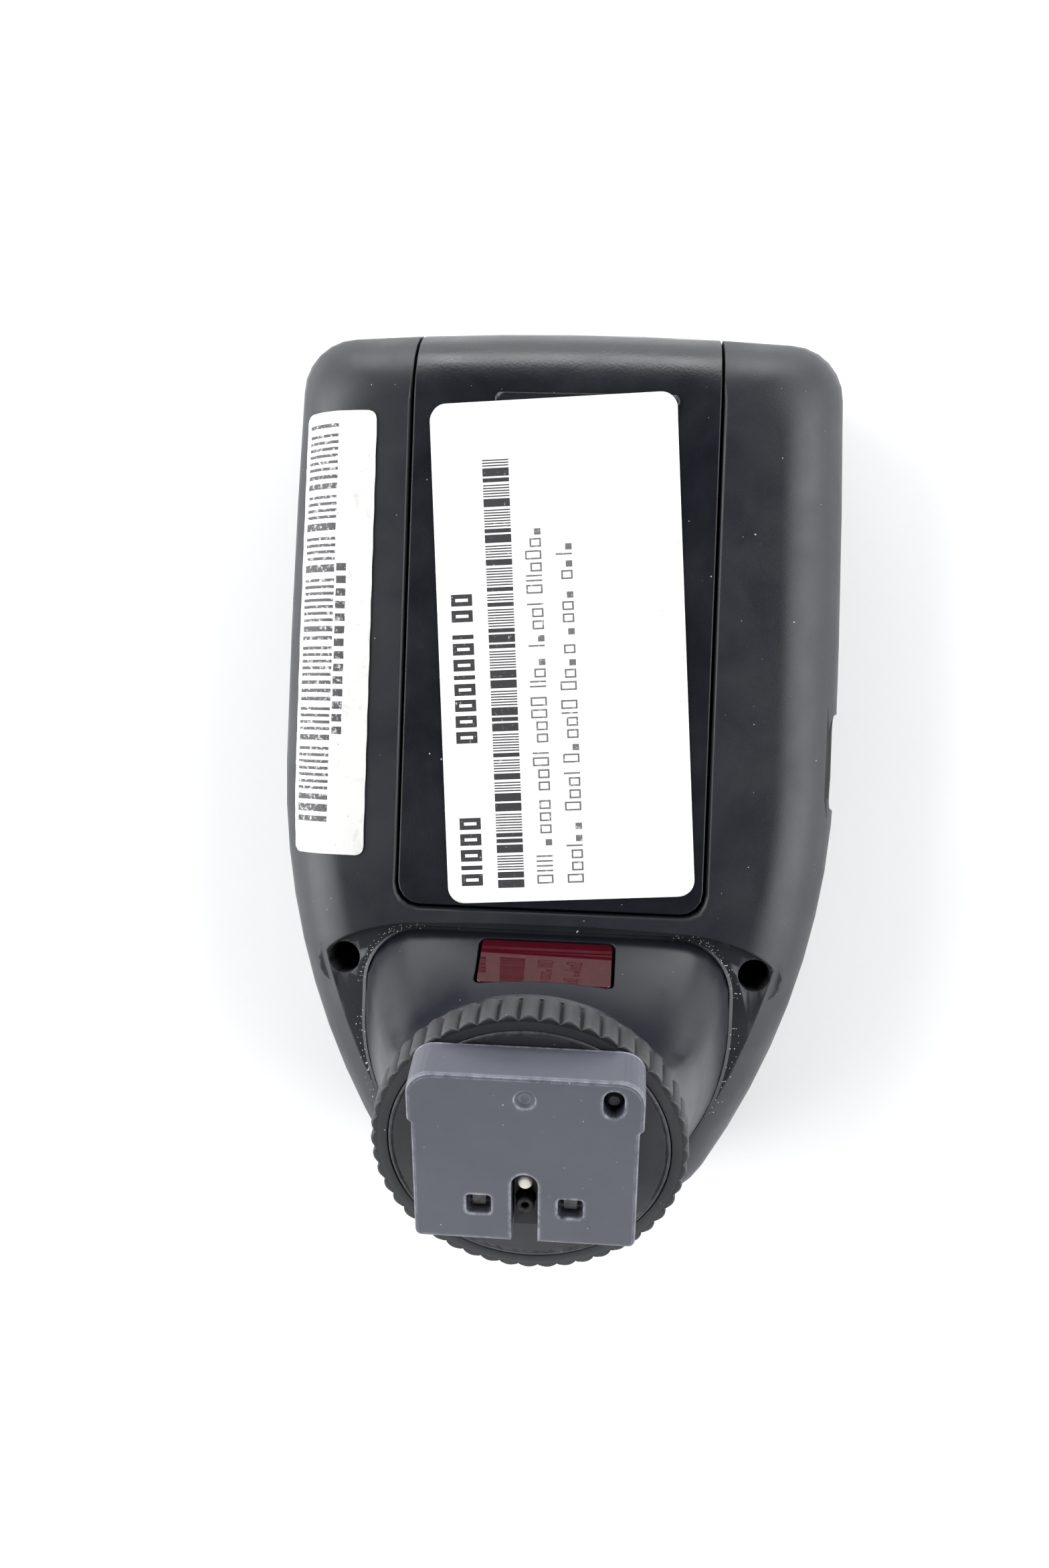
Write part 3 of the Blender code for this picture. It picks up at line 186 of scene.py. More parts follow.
class Shade:
    """A material's node tree, with short names for the nodes that its patterns are made of."""

    def __init__(self, name, colour, roughness, metallic=0.0):
        self.material = bpy.data.materials.new(name)
        self.material.use_nodes = True
        self.tree = self.material.node_tree
        self.shader = self.tree.nodes["Principled BSDF"]
        self.set("Base Color", (*colour, 1.0))
        self.set("Roughness", roughness)
        self.set("Metallic", metallic)
        place = self.add("ShaderNodeTexCoord").outputs["Object"]
        self.mm = self.vector("SCALE", place, Scale=1 / MM)
        self.bump_normal = None

    def add(self, kind, **settings):
        node = self.tree.nodes.new(kind)
        for key, value in settings.items():
            setattr(node, key, value)
        return node

    def feed(self, socket, value):
        if isinstance(value, bpy.types.NodeSocket):
            self.tree.links.new(value, socket)
        elif value is not None:
            socket.default_value = value

    def set(self, name, value):
        self.feed(self.shader.inputs[name], value)

    def vector(self, operation, a, b=None, **named):
        node = self.add("ShaderNodeVectorMath", operation=operation)
        self.feed(node.inputs[0], a)
        self.feed(node.inputs[1], b)
        for key, value in named.items():
            self.feed(node.inputs[key], value)
        return node.outputs[0]

    def dot(self, a, b):
        node = self.add("ShaderNodeVectorMath", operation="DOT_PRODUCT")
        self.feed(node.inputs[0], a)
        self.feed(node.inputs[1], b)
        return node.outputs["Value"]

    def maths(self, operation, a, b=None, clamp=False):
        node = self.add("ShaderNodeMath", operation=operation, use_clamp=clamp)
        self.feed(node.inputs[0], a)
        self.feed(node.inputs[1], b)
        return node.outputs[0]

    def stretched(self, scale, turn=0.0, shift=(0, 0, 0)):
        node = self.add("ShaderNodeMapping")
        self.feed(node.inputs["Vector"], self.mm)
        node.inputs["Rotation"].default_value = (0, 0, radians(turn))
        node.inputs["Scale"].default_value = scale
        node.inputs["Location"].default_value = shift
        return node.outputs[0]

    def noise(self, scale, detail=3.0, rough=0.55, at=None, distortion=0.0):
        node = self.add("ShaderNodeTexNoise")
        self.feed(node.inputs["Vector"], at or self.mm)
        node.inputs["Scale"].default_value = scale
        node.inputs["Detail"].default_value = detail
        node.inputs["Roughness"].default_value = rough
        node.inputs["Distortion"].default_value = distortion
        return node.outputs["Fac"]

    def cells(self, scale, at=None):
        node = self.add("ShaderNodeTexVoronoi")
        self.feed(node.inputs["Vector"], at or self.mm)
        node.inputs["Scale"].default_value = scale
        return node.outputs["Distance"], node.outputs["Color"]

    def ramp(self, value, low, high, start=0.0, end=1.0):
        """Maps low..high to start..end, held at both ends."""
        node = self.add("ShaderNodeMapRange", clamp=True)
        self.feed(node.inputs["Value"], value)
        for name, number in (("From Min", low), ("From Max", high), ("To Min", start), ("To Max", end)):
            node.inputs[name].default_value = number
        return node.outputs["Result"]

    def blend(self, factor, a, b):
        node = self.add("ShaderNodeMix", data_type="RGBA")
        self.feed(node.inputs["Factor"], factor)
        self.feed(node.inputs[6], (*a, 1.0) if isinstance(a, tuple) else a)
        self.feed(node.inputs[7], (*b, 1.0) if isinstance(b, tuple) else b)
        return node.outputs[2]

    def bump(self, height, depth, strength=1.0):
        """Adds relief, depth in millimetres, on top of any relief already there."""
        node = self.add("ShaderNodeBump")
        node.inputs["Strength"].default_value = strength
        node.inputs["Distance"].default_value = depth * MM
        self.feed(node.inputs["Height"], height)
        self.feed(node.inputs["Normal"], self.bump_normal)
        self.bump_normal = node.outputs["Normal"]
        self.set("Normal", self.bump_normal)

    def round_edges(self, radius):
        node = self.add("ShaderNodeBevel", samples=6)
        node.inputs["Radius"].default_value = radius * MM
        self.bump_normal = node.outputs["Normal"]
        self.set("Normal", self.bump_normal)

    def edge_mask(self, radius, low=0.02, high=0.25):
        """1 on edges, 0 away from them."""
        node = self.add("ShaderNodeBevel", samples=8)
        node.inputs["Radius"].default_value = radius * MM
        facing = self.dot(node.outputs["Normal"], self.add("ShaderNodeNewGeometry").outputs["True Normal"])
        return self.ramp(self.maths("SUBTRACT", 1.0, facing), low, high)

    def scratches(self, turn, across, along, width, amount, shift=0.0):
        """Thin lines that run at an angle, broken up into strokes."""
        lines = self.noise(1.0, 1.0, at=self.stretched((across, along, along), turn, (shift, shift, 0)))
        near = self.maths("ABSOLUTE", self.maths("SUBTRACT", lines, 0.5))
        stroke = self.ramp(near, 0.0, width, 1.0, 0.0)
        patch = self.ramp(
            self.noise(0.35, 2.0, at=self.stretched((1, 1, 1), turn, (shift * 3, 0, 7))),
            1 - amount,
            1.05 - amount,
        )
        return self.maths("MULTIPLY", stroke, patch)

    def specks(self, scale, radius, share, shift=0.0):
        """Small round grains in a share of the cells."""
        distance, colour = self.cells(scale, self.stretched((1, 1, 1), 0, (shift, shift, shift)))
        split = self.add("ShaderNodeSeparateColor")
        self.feed(split.inputs[0], colour)
        chosen = self.maths("LESS_THAN", split.outputs[0], share)
        size = self.maths("MULTIPLY", split.outputs[1], radius)
        grain = self.maths("LESS_THAN", distance, size)
        return self.maths("MULTIPLY", grain, chosen)


def moulded(
    name, colour, roughness, grain=0.02, grain_scale=7.0, worn=0.0, dust=0.0, scuffs=0.0, radius=0.2,
    mottle=0.15, shaded_valleys=False
):
    """Moulded plastic: fine grain, smudges, and optional dust, scuffs, rubbed edges and painted shade in the
    ring's flute valleys.
    """
    shade = Shade(name, colour, roughness)
    dark = tuple(value * (1 - mottle) for value in colour)
    light = tuple(value * (1 + mottle) for value in colour)
    look = shade.blend(shade.noise(0.5, 5.0), dark, light)
    smudge = shade.ramp(shade.noise(0.12, 4.0, distortion=0.6), 0.35, 0.65, -0.05, 0.07)
    rough = shade.maths("ADD", smudge, roughness)
    if radius:
        shade.round_edges(radius)
    shade.bump(shade.noise(grain_scale, 2.0, 0.6), grain)
    if scuffs:
        rub = shade.maths(
            "MAXIMUM",
            shade.scratches(22, 5.0, 0.16, 0.006, scuffs),
            shade.scratches(-58, 6.0, 0.2, 0.006, scuffs, 3.1),
        )
        look = shade.blend(shade.maths("MULTIPLY", rub, 0.5), look, (0.16, 0.165, 0.18))
        rough = shade.maths("ADD", rough, shade.maths("MULTIPLY", rub, 0.15))
    # Painted shade: darkens the ring's flute valleys and the inner edge of its rims to a fifth of the
    # colour, by radius from the shoe axis
    if shaded_valleys:
        axis = shade.add("ShaderNodeSeparateXYZ")
        shade.feed(axis.inputs[0], shade.mm)
        squares = [shade.maths("MULTIPLY", axis.outputs[index], axis.outputs[index]) for index in (0, 1)]
        reach = shade.maths("SQRT", shade.maths("ADD", *squares))
        dirt_and_shade = shade.maths(
            "MULTIPLY",
            shade.ramp(reach, RING_RADIUS - 0.3, RING_RADIUS - 0.1, 0.85, 0.0),
            shade.ramp(reach, VALLEY_SHADE_FROM, VALLEY_SHADE_FULL),
        )
        look = shade.blend(dirt_and_shade, look, tuple(value * 0.2 for value in colour))
    if worn:
        edge = shade.maths(
            "MULTIPLY", shade.edge_mask(0.5, 0.004, 0.06), shade.ramp(shade.noise(0.9, 5.0, 0.7), 0.36, 0.6)
        )
        pale = tuple(min(1.0, value * 3.2 + 0.12) for value in colour)
        look = shade.blend(shade.maths("MULTIPLY", edge, worn), look, pale)
    if dust:
        grains = shade.specks(1.7, 0.16, dust)
        fine = shade.specks(3.3, 0.14, dust * 0.7, 4.0)
        look = shade.blend(
            shade.maths("MULTIPLY", shade.maths("MAXIMUM", grains, fine), 0.75), look, (0.45, 0.45, 0.44)
        )
    shade.set("Base Color", look)
    shade.set("Roughness", rough)
    return shade


housing_look = moulded(
    "housing_plastic", (0.0078, 0.0093, 0.0138), 0.45, grain=0.012, dust=0.03, scuffs=0.1, radius=0.22
)
neck_look = moulded(
    "neck_plastic", (0.0085, 0.0102, 0.0148), 0.36, grain=0.006, dust=0.03, scuffs=0.08, radius=0.2
)
door_look = moulded(
    "door_plastic", (0.0065, 0.0077, 0.0112), 0.3, grain=0.02, grain_scale=3.2, dust=0.02, scuffs=0.2,
    radius=0.18, mottle=0.35,
)
ring_look = moulded(
    "ring_plastic", (0.022, 0.0235, 0.027), 0.46, grain=0.01, dust=0.05, scuffs=0.06, radius=0.12,
    shaded_valleys=True,
)
hub_look = moulded(
    "hub_plastic", (0.019, 0.0205, 0.024), 0.5, grain=0.01, dust=0.1, scuffs=0.1, radius=0.1, worn=0.5
)
foot_look = moulded(
    "foot_plastic", (0.067, 0.0715, 0.09), 0.42, grain=0.01, dust=0.06, scuffs=0.12, radius=0.3, worn=0.9,
    mottle=0.08,
)
inner_look = moulded("inner_plastic", (0.012, 0.012, 0.013), 0.55, radius=0.1)
skirt_look = moulded("skirt_plastic", (0.011, 0.0122, 0.0158), 0.42, grain=0.01, dust=0.25, radius=0)
# Painted shade: near-black for the insides of the screw wells, the port recess and the case screws
well_shade_look = moulded("well_painted_shade", (0.002, 0.002, 0.002), 0.8, radius=0)
bezel_look = moulded("bezel_plastic", (0.012, 0.013, 0.016), 0.3, grain=0.004, radius=0.15)
key_look = moulded("key_rubber", (0.05, 0.05, 0.054), 0.62, grain=0.01, radius=0.25)
control_look = moulded("control_plastic", (0.03, 0.03, 0.034), 0.4, grain=0.006, radius=0.15, worn=0.3)


def metal(name, colour, roughness):
    shade = Shade(name, colour, roughness, 1.0)
    look = shade.blend(shade.noise(1.5, 4.0), tuple(value * 0.8 for value in colour), colour)
    tarnish = shade.ramp(shade.noise(2.2, 5.0, 0.7), 0.55, 0.75)
    look = shade.blend(shade.maths("MULTIPLY", tarnish, 0.4), look, (0.12, 0.1, 0.08))
    shade.set("Base Color", look)
    shade.set("Roughness", shade.ramp(shade.noise(3.0, 3.0), 0.3, 0.7, roughness * 0.8, roughness * 1.5))
    shade.round_edges(0.08)
    shade.bump(shade.noise(9.0, 2.0), 0.004)
    return shade


steel_look = metal("plated_steel", (0.62, 0.62, 0.61), 0.28)
contact_look = metal("contact_metal", (0.13, 0.13, 0.135), 0.5)
pin_look = metal("dark_pin", (0.05, 0.05, 0.052), 0.5)


def lens(name, colour, depth_colour, rough=0.25):
    """Polished clear plastic over a coloured body."""
    shade = Shade(name, colour, rough)
    shade.set("Specular IOR Level", 0.0)
    shade.set("Coat Weight", 1.0)
    shade.set("Coat Roughness", 0.0)
    shade.set("Coat IOR", 1.36)
    shade.set("Base Color", shade.blend(shade.noise(0.6, 3.0), colour, depth_colour))
    shade.set("Roughness", shade.ramp(shade.noise(2.5, 4.0), 0.3, 0.7, rough * 0.8, rough * 1.2))
    shade.round_edges(0.12)
    shade.bump(shade.noise(0.5, 2.0), 0.0006)
    return shade


red_look = lens("red_lens", (0.05, 0.003, 0.006), (0.03, 0.002, 0.004), 0.4)
clear_look = lens("clear_lens", (0.02, 0.022, 0.024), (0.014, 0.015, 0.017))


def board_look(name, colour):
    shade = Shade(name, colour, 0.35)
    tracks = shade.ramp(shade.noise(0.5, 1.0, at=shade.stretched((6, 0.6, 1))), 0.5, 0.52)
    shade.set("Base Color", shade.blend(tracks, colour, tuple(value * 1.6 for value in colour)))
    shade.bump(tracks, 0.03)
    return shade


circuit_look = board_look("circuit_board", (0.01, 0.09, 0.04))
display_look = board_look("display_glass", (0.16, 0.2, 0.17))


def cell_skin():
    """Printed wrap: a dark body with a lighter band towards one end."""
    shade = Shade("cell_wrap", (0.03, 0.09, 0.1), 0.3)
    axis = shade.add("ShaderNodeSeparateXYZ")
    shade.feed(axis.inputs[0], shade.mm)
    band = shade.ramp(axis.outputs[1], 24.0, 24.3)
    body = shade.blend(shade.ramp(shade.noise(0.8, 4.0), 0.4, 0.8), (0.025, 0.1, 0.12), (0.021, 0.08, 0.096))
    light = shade.blend(shade.noise(0.5, 3.0), (0.5, 0.5, 0.5), (0.45, 0.45, 0.455))
    shade.set("Base Color", shade.blend(band, body, light))
    shade.bump(shade.noise(2.0, 3.0), 0.01)
    return shade


def paper(name, colour, dirt_and_shade, creases):
    """Label stock: slightly uneven white, with smudges, rubbed dirt and fine creases."""
    shade = Shade(name, colour, 0.45)
    look = shade.blend(shade.noise(0.25, 4.0), tuple(value * 0.97 for value in colour), colour)
    # On the labels this darkening is real dirt: smears, rubbed creases and grit
    smear = shade.ramp(shade.noise(0.3, 6.0, 0.65, distortion=1.2), 0.55, 0.8, 0.0, dirt_and_shade)
    look = shade.blend(smear, look, (0.22, 0.21, 0.2))
    rub = shade.scratches(12, 4.0, 0.3, 0.012, creases, 2.0)
    rub = shade.maths("MAXIMUM", rub, shade.scratches(-48, 3.5, 0.25, 0.012, creases, 5.0))
    look = shade.blend(shade.maths("MULTIPLY", rub, dirt_and_shade), look, (0.1, 0.1, 0.1))
    grit = shade.specks(2.4, 0.16, dirt_and_shade * 0.3, 2.0)
    look = shade.blend(grit, look, (0.12, 0.11, 0.1))
    shade.set("Base Color", look)
    shade.set("Roughness", shade.ramp(shade.noise(1.0, 4.0), 0.3, 0.7, 0.36, 0.55))
    shade.bump(shade.noise(4.0, 3.0), 0.006)
    return shade


label_look = paper("label_film", (0.83, 0.83, 0.83), 0.05, 0.05)
serial_look = paper("serial_film", (0.66, 0.66, 0.64), 0.5, 0.3)


def ink(name, colour, wear):
    shade = Shade(name, colour, 0.5)
    gone = shade.ramp(shade.noise(2.2, 5.0, 0.7), 0.62 - wear, 0.7 - wear)
    shade.set("Base Color", shade.blend(shade.maths("MULTIPLY", gone, 0.8), colour, (0.6, 0.6, 0.6)))
    return shade


ink_look = ink("label_ink", (0.03, 0.03, 0.033), 0.0)
small_ink_look = ink("label_small_ink", (0.13, 0.13, 0.135), 0.05)
serial_ink_look = ink("serial_ink", (0.04, 0.04, 0.045), 0.08)
grain_look = ink("dust_grains", (0.75, 0.74, 0.7), 0.05)

cream = Shade("cream_plastic", (0.78, 0.75, 0.66), 0.35)
cream.set("Base Color", cream.blend(cream.noise(2.5, 4.0), (0.7, 0.66, 0.56), (0.85, 0.82, 0.74)))
cream.round_edges(0.12)

LOOKS = {
    "rear_housing": housing_look,
    "front_housing": housing_look,
    "shoe_neck": neck_look,
    "battery_door": door_look,
    "shoe_foot": foot_look,
    "assist_window": red_look,
    "assist_led": red_look,
    "display_window": clear_look,
    "status_lamp": clear_look,
    "display_module": display_look,
    "main_board": circuit_look,
    "antenna": circuit_look,
    "battery_cell_left": cell_skin(),
    "guide_pin": cream,
    "port_bezel": bezel_look,
    "select_dial": control_look,
    "set_button": control_look,
    "power_slider": control_look,
    "assist_slider": control_look,
    "lock_pin": pin_look,
    "contact_pad_left": contact_look,
    "contact_pad_right": contact_look,
    "sync_contact": pin_look,
    "usb_port": steel_look,
}
LOOKS["battery_cell_right"] = LOOKS["battery_cell_left"]


def look_for(node):
    if node in LOOKS:
        return LOOKS[node]
    if "key" in node or node == "test_button":
        return key_look
    # The case screws at the bottom of the wells get the near-black painted shade
    if "case_screw" in node:
        return well_shade_look
    if any(word in node for word in ("screw", "spring", "plate")):
        return steel_look
    return inner_look


# ---------------------------------------------------------------- geometry


def dress(obj, shade, body, smooth=None):
    obj.data.materials.clear()
    obj.data.materials.append(shade.material)
    if smooth is not None:
        obj.data.shade_smooth()
        obj.data.set_sharp_from_angle(angle=radians(smooth))
    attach(obj, body)


def new_object(name, mesh, in_mm=True, place=None):
    """Makes an object from a bmesh, which it frees."""
    if in_mm:
        bmesh.ops.scale(mesh, vec=(MM, MM, MM), verts=mesh.verts)
    data = bpy.data.meshes.new(name)
    mesh.to_mesh(data)
    mesh.free()
    obj = bpy.data.objects.new(name, data)
    bpy.context.scene.collection.objects.link(obj)
    if place is not None:
        obj.matrix_world = place
    return obj


body_of = {
    node: body
    for body, members in frame["record"]["behaviour"]["bodies"].items()
    for node in members
}


def strip(mesh, rings):
    """Joins closed rings of equal length."""
    rows = [[mesh.verts.new(point) for point in ring] for ring in rings]
    count = len(rows[0])
    for lower, upper in zip(rows, rows[1:]):
        for index in range(count):
            after = (index + 1) % count
            mesh.faces.new((lower[index], lower[after], upper[after], upper[index]))
    return rows


def arc(x, y, radius, start, end, steps):
    turns = [radians(start + (end - start) * step / steps) for step in range(steps + 1)]
    return [(x + radius * cos(turn), y + radius * sin(turn)) for turn in turns]


def mirrored(right):
    """A closed outline from its right half."""
    return right + [(-x, y) for x, y in reversed(right) if x > 1e-6]


def body_outline():
    """The casing's plan: a short narrow end, long tapering arcs and a bowed wide end."""
    arc_x = HALF_WIDTH - SIDE_ARC
    corner_y = END_CORNER - HALF_LENGTH
    corner_x = arc_x + sqrt((SIDE_ARC - END_CORNER) ** 2 - corner_y**2)
    tangent = -atan(-corner_y / (corner_x - arc_x)) * 180 / pi
    right = arc(corner_x, corner_y, END_CORNER, -90, tangent, CORNER_STEPS)
    right += arc(arc_x, 0, SIDE_ARC, tangent, 0, SIDE_STEPS)[1:]
    wide_y = HALF_LENGTH - WIDE_BOW - WIDE_CORNER
    right += [
        (HALF_WIDTH - WIDE_TAPER * (part / EDGE_STEPS) ** 2, wide_y * part / EDGE_STEPS)
        for part in range(1, EDGE_STEPS)
    ]
    wide_x = HALF_WIDTH - WIDE_TAPER - WIDE_CORNER
    right += arc(wide_x, wide_y, WIDE_CORNER, 0, WIDE_CORNER_SWEEP, CORNER_STEPS)
    right += [
        (wide_x * part / EDGE_STEPS, HALF_LENGTH - WIDE_BOW * (part / EDGE_STEPS) ** 2)
        for part in range(EDGE_STEPS - 1, -1, -1)
    ]
    return mirrored(right)


def crowned(x, y, z):
    """Lets the shoulders fall away gently between the door and the round edge."""
    share = max((abs(x) - CROWN_START) / CROWN_WIDTH, 0)
    fall = share**2 if share < 1 else 2 * share - 1
    height = min(max((z - SHOULDER_Z) / (BACK_Z - SHOULDER_Z), 0), 1)
    return Vector((x, y, z - CROWN_DROP * fall * height))


def casing_skin():
    """Rings of the rear shell's smooth outside, from the parting plane to the middle of the back."""
    outline = body_outline()
    levels = [(PARTING_Z, 0.0, 0.0), (SHOULDER_Z, SIDE_DRAFT, END_DRAFT)]
    for step in range(1, ROUND_STEPS + 1):
        turn = radians(90 * step / ROUND_STEPS)
        level = SHOULDER_Z + (BACK_Z - SHOULDER_Z) * sin(turn)
        fall = 1 - cos(turn)
        levels.append((level, SIDE_DRAFT + SIDE_ROUND * fall, END_DRAFT + END_ROUND * fall))
    rings = []
    for z, side, end in levels:
        rings.append([(x * (1 - side / HALF_WIDTH), y * (1 - end / HALF_LENGTH), z) for x, y in outline])
    for step in range(1, BACK_STEPS):
        share = 1 - step / BACK_STEPS
        rings.append([(x * share, y * share, z) for x, y, z in rings[ROUND_STEPS + 1]])
    return [[crowned(*point) for point in ring] for ring in rings]


def in_shoe_frame(x, y, z):
    return (shoe @ (Vector((x, y, z)) * MM)) / MM


def neck_outline(grow=0.0):
    """The neck's plan at the ledge."""
    tail_x = NECK_HALF_WIDTH - NECK_TAIL_RADIUS
    reach = NECK_TAIL_RADIUS - NECK_TAIL_CORNER
    sweep = radians(NECK_TAIL_SWEEP)
    end_x, end_y = tail_x + reach * cos(sweep), NECK_SIDE_Y - reach * sin(sweep)
    right = arc(end_x, end_y, NECK_TAIL_CORNER + grow, -90, -NECK_TAIL_SWEEP, 12)
    right += arc(tail_x, NECK_SIDE_Y, NECK_TAIL_RADIUS + grow, -NECK_TAIL_SWEEP, 0, 20)[1:]
    corner_x, corner_y = NECK_HALF_WIDTH - NECK_CORNER, NECK_FRONT_Y - NECK_CORNER
    right += arc(corner_x, corner_y, NECK_CORNER + grow, 0, 90, 20)
    right.append((corner_x * 0.5, NECK_FRONT_Y + grow))
    return mirrored(right)


def neck_plan():
    """The plan sampled at even angles round its middle: (angle, x, y)."""
    outline = neck_outline()
    edges = list(zip(outline, outline[1:] + outline[:1]))
    plan = []
    for step in range(NECK_STEPS):
        turn = 2 * pi * (step + 0.5) / NECK_STEPS
        ray = Vector((cos(turn), sin(turn)))
        for (x1, y1), (x2, y2) in edges:
            start = Vector((x1, y1 - NECK_MIDDLE_Y))
            edge = Vector((x2, y2 - NECK_MIDDLE_Y)) - start
            across = edge.cross(ray)
            along = ray.cross(start) / across if abs(across) > 1e-9 else -1
            point = start + edge * along
            if 0 <= along < 1 and point.dot(ray) > 0:
                plan.append((turn, point.x, NECK_MIDDLE_Y + point.y))
                break
    return plan


def neck_skin():
    plan = neck_plan()
    collar = -RING_HEIGHT - RING_GAP
    top = [
        in_shoe_frame(NECK_TOP_RADIUS * cos(turn), NECK_TOP_RADIUS * sin(turn), collar - COLLAR_HEIGHT)
        for turn, _, _ in plan
    ]
    rings = [[(x, y, NECK_FOOT_Z) for _, x, y in plan]]
    for level in range(NECK_LEVELS + 1):
        height = level / NECK_LEVELS
        ring = []
        for (_, x, y), (top_x, top_y, top_z) in zip(plan, top):
            front = min(max((y - NECK_SIDE_Y) / (NECK_SCOOP_Y - NECK_SIDE_Y), 0), 1)
            middle_y = y + (top_y - y) * height - NECK_SCOOP * front * sin(pi * height)
            ring.append((x + (top_x - x) * height, middle_y, LEDGE_Z + (top_z - LEDGE_Z) * height))
        rings.append(ring)
    return rings


def smooth_normals(rings):
    """A function for the normal of the smooth skin nearest a point in metres, and how far off it is."""
    mesh = bmesh.new()
    rows = strip(mesh, rings)
    mesh.faces.new(rows[-1])
    bmesh.ops.recalc_face_normals(mesh, faces=mesh.faces)
    bmesh.ops.scale(mesh, vec=(MM, MM, MM), verts=mesh.verts)
    mesh.normal_update()
    tree = BVHTree.FromBMesh(mesh)
    mesh.faces.ensure_lookup_table()

    def normal_at(point):
        hit, _, index, _ = tree.find_nearest(point)
        corners = mesh.faces[index].verts
        weights = poly_3d_calc([corner.co for corner in corners], hit)
        total = Vector((0, 0, 0))
        for corner, weight in zip(corners, weights):
            total += corner.normal * weight
        return total.normalized(), (hit - point).length

    return normal_at


def follow_skin(obj, normal_at, limit):
    """Gives the faces that lie along the smooth skin its normals."""
    data = obj.data
    nearest = [normal_at(vertex.co) for vertex in data.vertices]
    corner_normals = [normal.vector.copy() for normal in data.corner_normals]
    for face in data.polygons:
        if any(nearest[vertex][1] > SKIN_REACH * MM for vertex in face.vertices):
            continue
        for loop, vertex in zip(face.loop_indices, face.vertices):
            if nearest[vertex][0].dot(face.normal) > cos(radians(limit)):
                corner_normals[loop] = nearest[vertex][0]
    data.normals_split_custom_set(corner_normals)


def grid_cuts(mesh, spans):
    """Cuts the mesh along planes, so that long faces can bend: spans is (axis, low, high, step)."""
    for axis, low, high, step in spans:
        normal = Vector((0, 0, 0))
        normal[axis] = 1
        place = low
        while place <= high:
            everything = mesh.verts[:] + mesh.edges[:] + mesh.faces[:]
            bmesh.ops.bisect_plane(
                mesh, geom=everything, plane_co=normal * place * MM, plane_no=normal, dist=1e-7
            )
            place += step


def welded(node):
    mesh = bmesh.new()
    mesh.from_mesh(nodes[node].data)
    bmesh.ops.remove_doubles(mesh, verts=mesh.verts, dist=0.002 * MM)
    return mesh


def skinned_copy(node, normal_at, spans, smooth, limit=28, crown=False):
    """The node's own shape, shaded by the smooth skin that it is a piece of."""
    mesh = welded(node)
    grid_cuts(mesh, spans)
    if crown:
        for vertex in mesh.verts:
            vertex.co = crowned(*(vertex.co / MM)) * MM
    obj = new_object(node + "_skin", mesh, in_mm=False)
    dress(obj, look_for(node), body_of[node], smooth)
    follow_skin(obj, normal_at, limit)
    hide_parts(node)
    return obj


def smooth_copy(node, smooth=32):
    """The node's own shape with its corners joined, so that it shades smoothly."""
    mesh = welded(node)
    bmesh.ops.dissolve_limit(mesh, angle_limit=radians(0.3), verts=mesh.verts, edges=mesh.edges)
    obj = new_object(node + "_skin", mesh, in_mm=False)
    dress(obj, look_for(node), body_of[node], smooth)
    normals = obj.modifiers.new("normals", "WEIGHTED_NORMAL")
    normals.keep_sharp = True
    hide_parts(node)


def make_casing():
    on_casing = smooth_normals(casing_skin())
    across = (0, -28.0, 28.0, 1.0)
    along = (1, -44.0, 44.0, 4.0)
    housing = skinned_copy("rear_housing", on_casing, (across, along), 26, crown=True)
    # Painted shade: the screw wells' insides and the port recess's walls and back get the near-black
    # material
    housing.data.materials.append(well_shade_look.material)
    for face in housing.data.polygons:
        x, y, z = face.center / MM
        in_well = hypot(abs(x) - SCREW_X, y - SCREW_Y) < WELL_RADIUS + 0.03 and z < LEDGE_Z - 0.05
        near_port = abs(y - PORT_PLACE[0]) < PORT_HALF_WIDTH and abs(z - PORT_PLACE[1]) < PORT_HALF_HEIGHT
        in_port = near_port and PORT_FLOOR_X < x < PORT_RIM_X
        face.material_index = int(
            in_well or in_port and abs(face.normal.x) < 0.3 or in_port and x < PORT_SHADE_X
        )
    skinned_copy("battery_door", on_casing, ((0, -15.0, 15.0, 3.0), along), 26)
    skinned_copy("port_bezel", on_casing, (), 26)
    skinned_copy("shoe_neck", smooth_normals(neck_skin()), ((2, 22.0, 44.0, 2.0),), 40, 34)


def make_ring():
    """The locking ring: convex flutes with narrow valleys, eased rims and a lip round its bore."""
    steps = FLUTES * STEPS_PER_FLUTE

    def rim(trim, share, z):
        points = []
        for step in range(steps):
            turn = 2 * pi * step / steps
            dip = FLUTE_DEPTH * share * (1 - abs(cos(FLUTES / 2 * turn)) ** FLUTE_POWER)
            radius = RING_RADIUS - trim - dip
            points.append((radius * cos(turn), radius * sin(turn), z))
        return points

    def plain(radius, z):
        return [(x, y, z) for x, y in arc(0, 0, radius, 0, 360, steps)[:-1]]

    rings = [
        plain(RING_BORE + 0.1, -RING_HEIGHT),
        rim(0.3, 0.6, -RING_HEIGHT),
        rim(0.08, 1.0, 0.12 - RING_HEIGHT),
        rim(0.0, 1.0, 0.35 - RING_HEIGHT),
        rim(0.0, 1.0, -0.3),
        rim(0.07, 0.9, -0.1),
        rim(0.22, 0.55, 0.0),
        rim(0.6, 0.0, 0.0),
        plain(RING_BORE + 0.12, 0.0),
        plain(RING_BORE + 0.03, -0.04),
        plain(RING_BORE, -0.14),
        plain(RING_BORE, 0.1 - RING_HEIGHT),
        plain(RING_BORE + 0.1, -RING_HEIGHT),
    ]
    mesh = bmesh.new()
    strip(mesh, rings)
    bmesh.ops.remove_doubles(mesh, verts=mesh.verts, dist=1e-4)
    bmesh.ops.recalc_face_normals(mesh, faces=mesh.faces)
    ring = new_object("fluted_ring", mesh, place=shoe)
    dress(ring, ring_look, "ring", 40)
    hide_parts("locking_ring")


